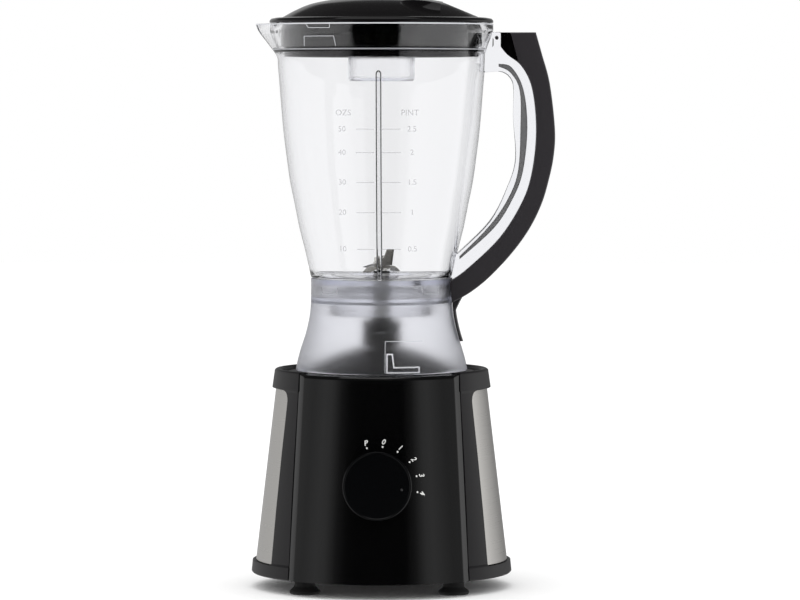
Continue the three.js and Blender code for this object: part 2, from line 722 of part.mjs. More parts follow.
// The cover's inner edge moved outwards by a distance.
function deeper(distance) {
  const path = new THREE.SplineCurve(coverInner.map(([x, z]) => P(x, z)));
  return Array.from({ length: 11 }, (_, i) => {
    const p = path.getPoint(i / 10);
    const t = path.getTangent(i / 10);
    return P(p.x - t.y * distance, p.y + t.x * distance);
  });
}

function handleFrame() {
  const finger = curve(fingerEdge, 11).reverse();
  const back = deeper(5);
  const shape = outline([
    P(70, 407.8), P(87, 407.8), P(92.2, 403), ...back, P(44, 222), P(44, 240), ...finger, P(70, 378),
  ]);
  const plateSolid = plate(shape, 2 * frameHalf);
  const outerSide = [
    [88, 385], [97, 380], [104, 366], [105.4, 338], [103, 306], [96, 285], [83, 264], [60, 243],
  ];
  const innerSide = [
    [60, 246], [80, 266], [93.6, 287], [100.4, 307], [102.8, 338], [101.4, 365], [95.4, 377], [88, 381.5],
  ];
  const groove = outline([...curve(outerSide, 9), ...curve(innerSide, 9)]);
  const grooves = [-1, 1].map((s) => plate(groove, 3.2, s * frameHalf));
  return cut(plateSolid, ...grooves);
}

function handleCover() {
  const inner = curve(coverInner, 14).reverse();
  const outer = curve(coverOuter, 16);
  const shape = outline([P(87.5, 407.5), ...outer, ...inner]);
  const bevel = {
    bevelEnabled: true, bevelThickness: 3.4, bevelSize: 3.2, bevelOffset: -3.2, bevelSegments: 1,
  };
  const grip = plate(shape, 2 * coverHalf - 6.8, 0, bevel);
  const lift = gap + 5;
  const back = deeper(lift);
  const channel = plate(outline([
    P(60, 412), P(87.4, 412), P(87.4, 408.2), P(92.6, 403.4), ...back,
    P(40, 216), P(30, 240), ...inner, P(70, 396),
  ]), 2 * (frameHalf + gap));
  const tailShape = outline([
    P(skirtR(213) - 1, 217), P(66, 220), P(skirtR(206) + 3, 206), P(skirtR(194) + 2.8, 194),
    P(skirtR(181) + 2.6, 181), P(skirtR(181) - 1, 181),
  ]);
  const tail = plate(tailShape, 12);
  const keep = turned([
    [0, 150], [skirtR(160) + 3, 160], ...[170, 180, 190, 200, 212, 228].map((z) => P(skirtR(z) + gap, z)),
    P(jarR(232) + gap, 232), ...[246, 264, 282].map((z) => P(jarR(z) + gap, z)),
    [rimR + gap, 400], [rimR + gap, 420], [0, 420],
  ], RING);
  return cut(join(grip, tail), channel, keep);
}

const skirtWall = 2.6;
const skirtPoints = [[skirtFootR, skirtFootZ], [59.3, 176], [54, 193.4], [51.9, 209], [skirtWaistR, 227]];
const skirtCurve = new THREE.SplineCurve(skirtPoints.map(([r, z]) => P(r, z)));

// Outer radius of the collar at a height.
function skirtR(z) {
  let [low, high] = [0, 1];
  for (let i = 0; i < 24; i += 1) {
    const mid = (low + high) / 2;
    if (skirtCurve.getPoint(mid).y < z) low = mid;
    else high = mid;
  }
  return skirtCurve.getPoint(low).x;
}

function jarSkirt() {
  const steps = 6;
  const rise = 227.2 - skirtFootZ;
  const heights = Array.from({ length: steps + 1 }, (_, i) => skirtFootZ + (rise * i) / steps);
  const outer = heights.map((z) => P(skirtR(z), z));
  const inner = heights.map((z) => P(Math.max(skirtR(z) - skirtWall, 49.1), z)).reverse();
  const wall = turned([...outer, ...inner], RING);
  const ledge = turned([[44, 211], [50, 209], [50, 213.6], [44, 213.6]], RING);
  const band = turned([
    ...heights.filter((z) => z < 185).map((z) => P(skirtR(z) - 1, z)),
    ...heights.filter((z) => z < 185).reverse().map((z) => P(skirtR(z) - skirtWall - 2.4, z)),
  ], RING);
  const lugs = [];
  for (let i = 0; i < 4; i += 1) {
    const upright = block(3, 40, 11.5, 8, -58, 165.7);
    const bar = block(23, 40, 3.4, 18, -58, 161.4);
    lugs.push(turn(join(upright, bar).intersect(band), i * 90));
  }
  return join(wall, ledge, ...lugs);
}

add('jar', jarBody(), clear);
add('jar_skirt', jarSkirt(), frost);
add('handle_cover', handleCover(), [SATIN, 0.35]);

const pinSolid = join(rod(1.2, -8.2, 8.2, 10), rod(2.1, -8.4, -7.3, 10), rod(2.1, 7.3, 8.4, 10));
const pinMesh = add('handle_pin', pinSolid, dark);
pinMesh.position.set(...pinPlace);
pinMesh.rotation.x = Math.PI / 2;

// ---- blade unit ----

const shoulderZ = jarFloorZ - 3.6; // the holder's shoulder, below the gasket
const hubTopZ = jarFloorZ + 9.6;
const bladeHolder = turned([
  [spindleR + 2, 201], [10, 201], [10, 206], [33.6, 206], [33.6, shoulderZ - 2.4], [30, shoulderZ],
  [23.8, shoulderZ], [23.8, jarFloorZ + 4], [15, jarFloorZ + 4.2], [9, hubTopZ - 0.4], [8, hubTopZ],
  [spindleR + 2, hubTopZ],
], MID);
const spindleFit = spindleR + 2 - run;

function holderRing() {
  const keys = [0, 60, 120].map((a) => turn(block(60, 5, 2.4, 0, 0, 200.8), a));
  return cut(tube(34.2, 22, 200.6, 205.6, MID), ...keys);
}

add('blade_holder', bladeHolder, pale);
add('holder_gasket', turned([
  [24.3, shoulderZ + 0.4], [33, shoulderZ + 0.4], [33, jarFloorZ - gap], [24.3, jarFloorZ - gap],
], MID), pale);
add('holder_ring', holderRing(), frost);
add('spindle_bush', tube(spindleFit, spindleR + run, 202, 228), brass);
add('spindle_seal', tube(spindleFit, spindleR + run, 229, 232.4), rubber);

function bladeSpindle() {
  return turned([
    [0, 190.2], [spindleR, 190.2], [spindleR, 233.6], [6.6, 233.8], [6.6, 234.8], [2.8, 235],
    [2.8, 243.4], [2.2, 244], [0, 244],
  ], SMALL);
}

const sheet = 1.2; // thickness of the blades
const hubHalf = 9; // the arms bend this far from the axis

// Upper edge of one bent arm: the inner corner of the bend, then the tip.
function armTop([reach, lift]) {
  const along = P(reach - hubHalf, lift).normalize();
  const corner = P(hubHalf - (sheet * (1 - along.x)) / along.y, sheet);
  return [corner, P(reach - sheet * along.y, lift + sheet * along.x)];
}

// A blade of two opposite arms. Each arm is its reach from the axis and its rise at the tip.
function bladePair(right, left, width) {
  const [rightTop, leftTop] = [armTop(right), armTop(left)];
  const strip = plate(outline([
    P(-left[0], left[1]), P(-hubHalf, 0), P(hubHalf, 0), P(right[0], right[1]), rightTop[1], rightTop[0],
    P(-leftTop[0].x, leftTop[0].y), P(-leftTop[1].x, leftTop[1].y),
  ]), width);
  const plan = outline([
    P(-left[0] - 1, -width * 0.4), P(-hubHalf, -width / 2), P(6, -width / 2), P(right[0] + 1, width * 0.12),
    P(right[0] + 1, width * 0.4), P(hubHalf, width / 2), P(-6, width / 2), P(-left[0] - 1, -width * 0.12),
  ]);
  return cut(strip.intersect(slab(plan, -40, 60)), rod(2.8 + gap, -10, 10));
}

function bladeNut() {
  const corners = Array.from({ length: 6 }, (_, i) => {
    const a = (i * Math.PI) / 3;
    return P(5.4 * Math.cos(a), 5.4 * Math.sin(a));
  });
  return cut(join(slab(outline(corners), 239.3, 242.8), rod(6.2, 238.4, 239.5)), rod(2.9, 230, 250));
}

add('blade_spindle', bladeSpindle(), bright);
const bladeLower = add('blade_lower', bladePair([20, -4], [20, -4], 11), bright);
bladeLower.position.z = 235.2;
bladeLower.rotation.z = THREE.MathUtils.degToRad(55);
const bladeUpper = add('blade_upper', bladePair([12.2, 12], [22, -2.5], 9), bright);
bladeUpper.position.z = 236.8;
bladeUpper.rotation.z = THREE.MathUtils.degToRad(-60);
add('blade_nut', bladeNut(), bright);

function jarCoupling() {
  const disc = rod(couplingR, 189.6, 196, MID);
  const hub = rod(8, 195, 199.6);
  const dogs = [];
  const dog = dogSolid(184.2, 190).subtract(rod(8, 170, 189.2));
  for (let i = 0; i < 4; i += 1) dogs.push(turn(dog, i * 90 + 45));
  return cut(join(disc, hub, ...dogs), rod(spindleR + gap, 180, 202));
}
add('jar_coupling', jarCoupling(), rubber);

// ---- lid and cup ----

const lidDome = [[37, lidTopZ], [47, 429.6], [55.1, 427.3], [64.7, 423], [72.8, 418.5]];
const lidHoleR = cupR + 0.8;

// A finger scoop in the lid: part of an ellipsoid with a flat side and floor, grown by a margin.
function scoop(margin, degrees) {
  const bowl = new THREE.SphereGeometry(1, 16, 8).rotateX(Math.PI / 2);
  bowl.scale(27 + margin, 26 + margin, 17 + margin).translate(40, -54, 434);
  const bounds = block(60, 100, 40, 14 + margin, -54, 439 - margin);
  return turn(body(bowl).intersect(bounds), degrees);
}

function lidSolid() {
  const top = curve(lidDome, 5);
  const under = curve([[69.3, 415.6], [61, 420.6], [50, 424.6], [40, 425.6]], 3);
  const skirtTop = plugR + 0.8;
  const skirtLow = plugR - 1.8;
  const shell = turned([
    [lidHoleR, 427.6], [wellR, 427.6], [wellR, 430.4], [wellR + 1.6, lidTopZ - 0.2], ...top,
    [77, 418.4], [80.6, 417.6], [82.1, 416.2], [82.1, jarRimZ + slip], [skirtTop, jarRimZ + slip],
    [skirtTop, 397], [skirtLow, 396.2], [skirtLow, 389.6], [skirtLow - 2.8, 389.6], [skirtLow - 2.8, 413],
    ...under, [lidHoleR + 2.6, 425.4], [lidHoleR + 2.6, 414], [lidHoleR, 414],
  ], RING);
  const filled = turned([[0, 395], [69, 395], [69, 416], ...curve(lidDome, 5).reverse(), [0, lidTopZ]], RING);
  const guard = filled.intersect(tube(69, wellR + 2.6, 395, 440, RING));
  const reach = tube(75, wellR + 4.6, 400, 440, RING);
  const turns = [0, 180];
  const bowls = turns.map((angle) => scoop(2.2, angle).intersect(guard));
  const scoops = turns.map((angle) => scoop(0, angle).intersect(reach));
  const facet = moved(block(60, 70, 20, 30, 0, 10), [44.8, 0, 429.5], [0, 22.5, 0]);
  return cut(join(shell, ...bowls), ...scoops, facet.intersect(block(28, 60, 40, 57.5, 0, 425)));
}
add('lid', lidSolid(), [GLOSS, 0.15]);
add('lid_seal', turned([
  [plugR - 1.6, 391.4], [plugR - 0.8, 391.4], [plugR - 0.4, 392.8], [plugR - 0.8, 394.2],
  [plugR - 1.6, 394.2],
], RING), pale);

add('measuring_cup', turned([
  [0, cupFloorZ], [cupR - 2, cupFloorZ], [cupR - 0.6, cupFloorZ + 1.4], [cupR, 428],
  [wellR - slip, 428], [wellR - slip, 430.2], [cupR - 1, 430.4], [cupR - 2.2, 428.6],
  [cupR - 2.6, cupFloorZ + 3.4], [cupR - 4, cupFloorZ + 2], [0, cupFloorZ + 2],
], 30), clear);

// ---- the part's origin: middle of the footprint, on the table ----

const handleReach = 127.6;
const knobReach = -knobFace.y + knobDepth * Math.cos(tilt) + knobR * Math.sin(tilt);
const inletReach = shellR(inletZ) + 12 * Math.cos(tilt) + 5.4 * Math.sin(tilt);
group.position.set(-(handleReach - baseBottomR) / 2, (knobReach - inletReach) / 2, 0);
group.updateMatrixWorld(true);

export default group;
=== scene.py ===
"""Looks of a countertop blender: housing, control panel, jug, blades, lid and studio."""

import logging
import math
from dataclasses import dataclass
from enum import Enum
from typing import Callable, Optional, Sequence

import bmesh
import bpy
from mathutils import Matrix, Vector


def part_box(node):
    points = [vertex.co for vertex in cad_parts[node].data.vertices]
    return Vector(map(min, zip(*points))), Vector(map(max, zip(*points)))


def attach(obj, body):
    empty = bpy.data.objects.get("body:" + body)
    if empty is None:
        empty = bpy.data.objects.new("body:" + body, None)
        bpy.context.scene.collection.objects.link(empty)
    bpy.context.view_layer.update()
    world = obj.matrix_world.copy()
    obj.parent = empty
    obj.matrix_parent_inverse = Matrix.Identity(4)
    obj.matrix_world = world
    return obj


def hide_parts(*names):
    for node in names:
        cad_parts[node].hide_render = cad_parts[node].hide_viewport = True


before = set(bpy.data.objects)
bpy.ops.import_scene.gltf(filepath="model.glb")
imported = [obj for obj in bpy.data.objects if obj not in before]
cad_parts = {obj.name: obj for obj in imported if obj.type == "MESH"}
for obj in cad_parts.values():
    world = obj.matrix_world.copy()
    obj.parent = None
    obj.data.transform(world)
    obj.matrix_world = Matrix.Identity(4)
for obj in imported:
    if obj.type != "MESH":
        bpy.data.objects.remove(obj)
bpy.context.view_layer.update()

log = logging.getLogger("blender_looks")

# metres in a millimetre
MM = 0.001
# longest stretch of a raised line, and how deep its root sits, in millimetres
PIECE = 2.5
ROOT = 0.15

Colour = tuple[float, float, float]
Point = tuple[float, float, float]
Pair = tuple[float, float]
Profile = list[Pair]
Reach = Callable[[float], float]
Warp = Callable[[float, float, float], float]
Repeat = tuple[bpy.types.NodeTree, dict[str, str]]


class Join(Enum):
    """How one solid works on another."""

    CUT = "DIFFERENCE"
    ADD = "UNION"


# ---- sizes that several classes share, in millimetres about the spindle axis ----


@dataclass(frozen=True)
class Housing:
    """The cone that the base's outer wall follows, and the knob's height on it."""

    bottom_r: float = 95.8
    top_r: float = 78.2
    bottom_z: float = 10.8
    top_z: float = 161.0
    proud: float = 2.4
    knob_z: float = 81.0

    @property
    def slope(self) -> float:
        """Radius lost for each millimetre of height."""
        return (self.bottom_r - self.top_r) / (self.top_z - self.bottom_z)

    @property
    def tilt(self) -> float:
        """Lean of the wall from upright, in radians."""
        return math.atan(self.slope)

    def radius(self, z: float) -> float:
        """Outer radius of the wall at a height."""
        return self.bottom_r - self.slope * (z - self.bottom_z)

    def panel_radius(self, z: float) -> float:
        """Outer radius of the front panel at a height."""
        return self.radius(z) + self.proud


HOUSING = Housing()


def spindle_axis() -> Vector:
    """Where the spindle axis meets the table, in metres."""
    low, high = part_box("motor_shaft")
    return Vector(((low.x + high.x) / 2, (low.y + high.y) / 2, 0.0))


AXIS = spindle_axis()
ON_AXIS = Matrix.Translation(AXIS) @ Matrix.Scale(MM, 4)


def level(x: float, y: float, z: float, turn: float = math.pi / 2) -> Matrix:
    """Lays a turned piece's axis level, from front to back, at a place in millimetres."""
    return Matrix.Translation((x, y, z)) @ Matrix.Rotation(turn, 4, "X")


# ---- curves and meshes ----


def spline(points: Sequence[Sequence[float]], steps: int = 6) -> Profile:
    """Runs a smooth curve through points.

    Args:
        points: the points that the curve passes through.
        steps: pieces between one point and the next.

    Returns:
        The curve's points, from the first to the last.
    """
    out: Profile = []
    last = len(points) - 1
    for i in range(last):
        p0, p1, p2, p3 = (points[max(min(k, last), 0)] for k in (i - 1, i, i + 1, i + 2))
        for k in range(steps):
            t = k / steps
            out.append(tuple(
                (2 * p1[c] - 2 * p2[c] + (p2[c] - p0[c] + p3[c] - p1[c]) / 2) * t ** 3
                + (-3 * p1[c] + 3 * p2[c] - (p2[c] - p0[c]) - (p3[c] - p1[c]) / 2) * t * t
                + (p2[c] - p0[c]) / 2 * t + p1[c]
                for c in (0, 1)
            ))
    out.append(tuple(points[last][:2]))
    return out


def rounded(points: Sequence[Sequence[float]], steps: int = 4) -> Profile:
    """Rounds the corners of a run of points.

    Args:
        points: (r, z) or (r, z, corner radius) for each corner.
        steps: pieces in each corner's arc.

    Returns:
        The run with an arc at each corner that has a radius.
    """
    out: Profile = []
    for i, (x, y, *rest) in enumerate(points):
        radius = rest[0] if rest else 0.0
        if radius <= 0 or i in (0, len(points) - 1):
            out.append((x, y))
            continue
        corner = Vector((x, y))
        back = Vector(points[i - 1][:2]) - corner
        on = Vector(points[i + 1][:2]) - corner
        room = min(back.length, on.length) * 0.49
        back.normalize()
        on.normalize()
        half = back.angle(on) / 2
        if half > 1.55:
            out.append((x, y))
            continue
        cut = min(radius / math.tan(half), room)
        centre = corner + (back + on).normalized() * (cut / math.cos(half))
        start, end = corner + back * cut - centre, corner + on * cut - centre
        total = start.angle(end)
        for k in range(steps + 1):
            t = k / steps
            arm = (start * math.sin((1 - t) * total) + end * math.sin(t * total)) / math.sin(total)
            out.append(tuple(centre + arm))
    return out


def ring_profile(points: Sequence[Sequence[float]], steps: int = 4) -> Profile:
    """Rounds a closed run of corners, the first of which stays sharp."""
    return rounded([*points, points[0]], steps)[:-1]


def in_scene(name: str, data: bpy.types.ID) -> bpy.types.Object:
    """Makes an object for a mesh, curve, lamp or camera and links it to the scene.

    Args:
        name: the object's name.
        data: what it shows.

    Returns:
        The new object.
    """
    obj = bpy.data.objects.new(name, data)
    bpy.context.scene.collection.objects.link(obj)
    return obj


def face_to(obj: bpy.types.Object, place: Vector, target: Vector) -> None:
    """Puts a lamp or camera at a place and turns it to a target, both in metres."""
    obj.location = place
    obj.rotation_euler = (target - place).to_track_quat("-Z", "Y").to_euler()


def mesh_piece(name: str, verts: Sequence[Sequence[float]], faces: Sequence[Sequence[int]],
               sharp: float = 32.0, place: Optional[Matrix] = None) -> bpy.types.Object:
    """Makes a closed mesh object with smooth faces and crisp corners.

    Args:
        name: the piece's name.
        verts: corners in millimetres about the spindle axis.
        faces: corner numbers of each face.
        sharp: angle in degrees above which an edge stays crisp.
        place: a turn and shift, in millimetres, made before the axis is added.

    Returns:
        The new object, at the origin, with its place in its mesh.
    """
    mesh = bpy.data.meshes.new(name)
    mesh.from_pydata([tuple(v) for v in verts], [], faces)
    if place is not None:
        mesh.transform(place)
    mesh.transform(ON_AXIS)
    obj = in_scene(name, mesh)
    tidy(obj, sharp)
    return obj


def tidy(obj: bpy.types.Object, sharp: float = 32.0) -> None:
    """Merges doubles, turns the faces outwards and shades a piece smooth between crisp edges.

    Args:
        obj: the piece.
        sharp: angle in degrees above which an edge stays crisp.
    """
    bm = bmesh.new()
    bm.from_mesh(obj.data)
    bmesh.ops.remove_doubles(bm, verts=bm.verts, dist=1e-6)
    bmesh.ops.dissolve_degenerate(bm, edges=bm.edges, dist=1e-7)
    bmesh.ops.recalc_face_normals(bm, faces=bm.faces)
    bm.to_mesh(obj.data)
    bm.free()
    obj.data.polygons.foreach_set("use_smooth", [True] * len(obj.data.polygons))
    obj.data.set_sharp_from_angle(angle=math.radians(sharp))


def lathe(name: str, profile: Sequence[Sequence[float]], segments: int = 160,
          warp: Optional[Warp] = None, place: Optional[Matrix] = None,
          sharp: float = 32.0) -> bpy.types.Object:
    """Turns a profile about the upright axis.

    Args:
        name: the piece's name.
        profile: (r, z) points. An end that is off the axis is joined to the other end.
        segments: faces in one turn.
        warp: gives the radius from the angle off the front, the radius and the height.
        place: a turn and shift in millimetres.
        sharp: angle in degrees above which an edge stays crisp.

    Returns:
        The turned piece.
    """
    verts: list[Point] = []
    rows: list[list[int]] = []
    for r, z in profile:
        if r < 1e-6:
            verts.append((0.0, 0.0, z))
            rows.append([len(verts) - 1])
            continue
        row = []
        for i in range(segments):
            a = 2 * math.pi * i / segments
            reach = warp(a, r, z) if warp else r
            verts.append((reach * math.sin(a), -reach * math.cos(a), z))
            row.append(len(verts) - 1)
        rows.append(row)
    pairs = list(zip(rows, rows[1:]))
    if len(rows[0]) > 1 or len(rows[-1]) > 1:
        pairs.append((rows[-1], rows[0]))
    faces = []
    for low, high in pairs:
        for i in range(segments):
            j = (i + 1) % segments
            corners = [low[i % len(low)], low[j % len(low)], high[j % len(high)], high[i % len(high)]]
            face = list(dict.fromkeys(corners))
            if len(face) > 2:
                faces.append(face)
    return mesh_piece(name, verts, faces, sharp, place)


def loft(name: str, rows: Sequence[Sequence[Sequence[float]]], sharp: float = 32.0,
         place: Optional[Matrix] = None) -> bpy.types.Object:
    """Skins closed sections that all have the same number of points, and closes both ends.

    Args:
        name: the piece's name.
        rows: (x, y, z) points of each section, in millimetres.
        sharp: angle in degrees above which an edge stays crisp.
        place: a turn and shift in millimetres.

    Returns:
        The skinned piece.
    """
    count = len(rows[0])
    verts = [p for row in rows for p in row]
    faces = [list(range(count)), [len(verts) - count + i for i in range(count)]]
    for k in range(len(rows) - 1):
        for i in range(count):
            j = (i + 1) % count
            faces.append([k * count + i, k * count + j, (k + 1) * count + j, (k + 1) * count + i])
    return mesh_piece(name, verts, faces, sharp, place)


def prism(name: str, outline: Sequence[Sequence[float]], half: float, y: float = 0.0, bevel: float = 0.0,
          steps: int = 3, place: Optional[Matrix] = None) -> bpy.types.Object:
    """Gives an outline in the X-Z plane thickness along Y, and rounds its two rims.

    Args:
        name: the piece's name.
        outline: (x, z) points in order round the shape.
        half: half of the thickness.
        y: where the middle of the thickness lies.
        bevel: radius of the rims.
        steps: pieces across each rim.
        place: a turn and shift in millimetres.

    Returns:
        The finished piece.
    """
    count = len(outline)
    verts = [(x, y - half, z) for x, z in outline] + [(x, y + half, z) for x, z in outline]
    faces = [list(range(count)), list(range(2 * count - 1, count - 1, -1))]
    faces += [[i, count + i, count + (i + 1) % count, (i + 1) % count] for i in range(count)]
    obj = mesh_piece(name, verts, faces, place=place)
    if bevel:
        bm = bmesh.new()
        bm.from_mesh(obj.data)
        rims = [e for e in bm.edges if any(len(f.verts) > 8 for f in e.link_faces)]
        bmesh.ops.bevel(bm, geom=rims, offset=bevel * MM, segments=steps, profile=0.5, affect="EDGES",
                        clamp_overlap=True)
        bm.to_mesh(obj.data)
        bm.free()
        tidy(obj)
    return obj


def flatten(obj: bpy.types.Object) -> None:
    """Bakes a piece's modifiers into its mesh and takes them off.

    Args:
        obj: the piece.
    """
    graph = bpy.context.evaluated_depsgraph_get()
    mesh = bpy.data.meshes.new_from_object(obj.evaluated_get(graph))
    obj.modifiers.clear()
    obj.data = mesh


def combine(obj: bpy.types.Object, others: Sequence[bpy.types.Object], how: Join,
            sharp: float = 32.0) -> None:
    """Cuts other solids out of a piece, or joins them to it, and removes the others.

    Args:
        obj: the piece.
        others: the solids that work on it.
        how: cut or add.
        sharp: angle in degrees above which an edge stays crisp.
    """
    for other in others:
        step = obj.modifiers.new("Join", "BOOLEAN")
        step.operation = how.value
        step.solver = "EXACT"
        step.object = other
        flatten(obj)
        bpy.data.objects.remove(other)
    tidy(obj, sharp)


def merged(name: str, objs: Sequence[bpy.types.Object]) -> bpy.types.Object:
    """Puts separate shells into one object under a name.

    Args:
        name: the new object's name.
        objs: the shells, which are removed.

    Returns:
        The object with all of them.
    """
    bm = bmesh.new()
    for obj in objs:
        bm.from_mesh(obj.data)
    mesh = bpy.data.meshes.new(name)
    bm.to_mesh(mesh)
    bm.free()
    for obj in objs:
        bpy.data.objects.remove(obj)
    result = in_scene(name, mesh)
    tidy(result)
    return result


def wrap(obj: bpy.types.Object, radius: Reach) -> None:
    """Bends a flat piece, drawn in X-Z with its height along -Y, round the upright axis.

    Args:
        obj: the piece.
        radius: the surface's radius at a height.
    """
    for v in obj.data.vertices:
        x, y, z = (v.co - AXIS) / MM
        reach = radius(z) - y
        a = math.asin(max(-1.0, min(1.0, x / reach)))
        v.co = AXIS + Vector((reach * math.sin(a), -reach * math.cos(a), z)) * MM
    tidy(obj)


def ribbon(name: str, points: Sequence[Sequence[float]], width: float, height: float,
           radius: Reach) -> bpy.types.Object:
    """Lays a thin raised line along X-Z points on a turned surface.

    Args:
        name: the piece's name.
        points: (x, z) points of the line.
        width: the line's width.
        height: how far it stands up.
        radius: the surface's radius at a height.

    Returns:
        The raised line.
    """
    verts: list[Point] = []
    faces: list[list[int]] = []
    for start, end in zip(points, points[1:]):
        a, b = Vector(start), Vector(end)
        along = (b - a).normalized()
        side = Vector((-along.y, along.x)) * width / 2
        a, b = a - along * width / 2, b + along * width / 2
        pieces = max(1, int((b - a).length / PIECE))
        for k in range(pieces + 1):
            p = a.lerp(b, k / pieces)
            for s, h in ((-1, -ROOT), (1, -ROOT), (1, height), (-1, height)):
                verts.append((p.x + s * side.x, -h, p.y + s * side.y))
            if k:
                n = len(verts) - 8
                faces += [[n + i, n + (i + 1) % 4, n + 4 + (i + 1) % 4, n + 4 + i] for i in range(4)]
        first = len(verts) - 4 * (pieces + 1)
        faces += [[first + i for i in range(4)], [len(verts) - 4 + i for i in range(4)]]
    obj = mesh_piece(name, verts, faces)
    wrap(obj, radius)
    return obj


def lettering(name: str, text: str, size: float, x: float, z: float, turn: float = 0.0,
              slant: float = 0.0, height: float = 0.15, weight: float = 0.0) -> bpy.types.Object:
    """Draws a raised word or number in the X-Z plane, facing -Y.

    Args:
        name: the piece's name.
        text: what it says.
        size: letter size in millimetres.
        x: middle of the word.
        z: middle of the letters' height.
        turn: clockwise turn in degrees.
        slant: lean of the letters.
        height: how far the letters stand up.
        weight: how far their strokes are thickened.

    Returns:
        The word as a mesh.
    """
    curve = bpy.data.curves.new(name, "FONT")
    curve.body, curve.size, curve.extrude, curve.shear, curve.offset = text, size, height, slant, weight
    curve.align_x, curve.align_y = "CENTER", "CENTER"
    curve.resolution_u = 3
    temp = in_scene(name, curve)
    mesh = bpy.data.meshes.new_from_object(temp.evaluated_get(bpy.context.evaluated_depsgraph_get()))
    bpy.data.objects.remove(temp)
    stand = Matrix.Translation((x, 0, z)) @ Matrix.Rotation(math.radians(turn), 4, "Y")
    mesh.transform(ON_AXIS @ stand @ Matrix.Rotation(math.pi / 2, 4, "X"))
    return in_scene(name, mesh)


def curved_plate(name: str, angles: Sequence[float], top: Reach, low: float,
                 inner: Reach, outer: Reach, rows: int = 14) -> bpy.types.Object:
    """A plate that follows the housing's cone between two angles off the front.

    Args:
        name: the piece's name.
        angles: angle of each column of faces, in degrees.
        top: height of the upper edge at an angle.
        low: height of the lower edge.
        inner: radius of the inner face at a height.
        outer: radius of the outer face at a height.
        rows: faces from the lower edge to the upper one.

    Returns:
        The plate.
    """
    verts: list[Point] = []
    for degrees in angles:
        a = math.radians(degrees)
        for radius in (inner, outer):
            for k in range(rows + 1):
                z = low + (top(degrees) - low) * k / rows
                verts.append((radius(z) * math.sin(a), -radius(z) * math.cos(a), z))
    step = 2 * (rows + 1)
    ring = list(range(rows + 1)) + list(range(2 * rows + 1, rows, -1))
    faces = [ring, [len(verts) - step + i for i in ring]]
    for c in range(len(angles) - 1):
        for i in range(step):
            j = (i + 1) % step
            faces.append([c * step + ring[i], c * step + ring[j], (c + 1) * step + ring[j],
                          (c + 1) * step + ring[i]])
    return mesh_piece(name, verts, faces)


# ---- node tools ----


def sockets(tree: bpy.types.NodeTree, flow: str, wanted: dict[str, tuple[str, object]]) -> dict[str, str]:
    """Adds named sockets to a group.

    Args:
        tree: the group.
        flow: "INPUT" or "OUTPUT".
        wanted: each socket's type and first value, by name.

    Returns:
        Each socket's identifier, by name.
    """
    found = {}
    for name, (kind, value) in wanted.items():
        socket = tree.interface.new_socket(name=name, in_out=flow, socket_type=kind)
        if value is not None:
            socket.default_value = value
        found[name] = socket.identifier
    return found


def give(tree: bpy.types.NodeTree, socket: bpy.types.NodeSocket, value: object) -> None:
    """Links a socket where the value is another socket, or else sets it.

    Args:
        tree: the tree that the socket is in.
        socket: the input.
        value: a value, or a socket to link.
    """
    if isinstance(value, bpy.types.NodeSocket):
        tree.links.new(value, socket)
    else:
        socket.default_value = value


def add(tree: bpy.types.NodeTree, kind: str, inputs: Optional[dict] = None,
        **options: object) -> bpy.types.Node:
    """Adds a node to a tree.

    Args:
        tree: the tree that the node goes into.
        kind: the node's type.
        inputs: a value, or a socket to link, for each input by name or number.
        options: the node's own settings.

    Returns:
        The new node.
    """
    node = tree.nodes.new(kind)
    for key, value in options.items():
        setattr(node, key, value)
    for key, value in (inputs or {}).items():
        give(tree, node.inputs[key], value)
    return node


def sums(tree: bpy.types.NodeTree, operation: str, *values: object) -> bpy.types.NodeSocket:
    """The result of a math node on values or sockets."""
    return add(tree, "ShaderNodeMath", dict(enumerate(values)), operation=operation).outputs[0]


def blend(tree: bpy.types.NodeTree, share: bpy.types.NodeSocket, first: object,
          second: object) -> bpy.types.NodeSocket:
    """Mixes two colours.

    Args:
        tree: the tree that the mix goes into.
        share: how much of the second colour is taken.
        first: a colour, or a socket that gives one.
        second: the other colour.

    Returns:
        The socket with the mixed colour.
    """
    mix = add(tree, "ShaderNodeMix", data_type="RGBA")
    give(tree, mix.inputs["Factor"], share)
    for socket, colour in zip([s for s in mix.inputs if s.type == "RGBA"], (first, second)):
        give(tree, socket, colour)
    return next(s for s in mix.outputs if s.type == "RGBA")


def end_repeat(tree: bpy.types.NodeTree, shape: bpy.types.NodeSocket, finish: bpy.types.NodeSocket) -> None:
    """Ends a geometry tree with real geometry in its finish.

    Args:
        tree: the tree.
        shape: the copies.
        finish: the material.
    """
    real = add(tree, "GeometryNodeRealizeInstances", {0: shape})
    coat = add(tree, "GeometryNodeSetMaterial", {"Geometry": real.outputs[0], "Material": finish})
    add(tree, "NodeGroupOutput", {0: coat.outputs[0]})


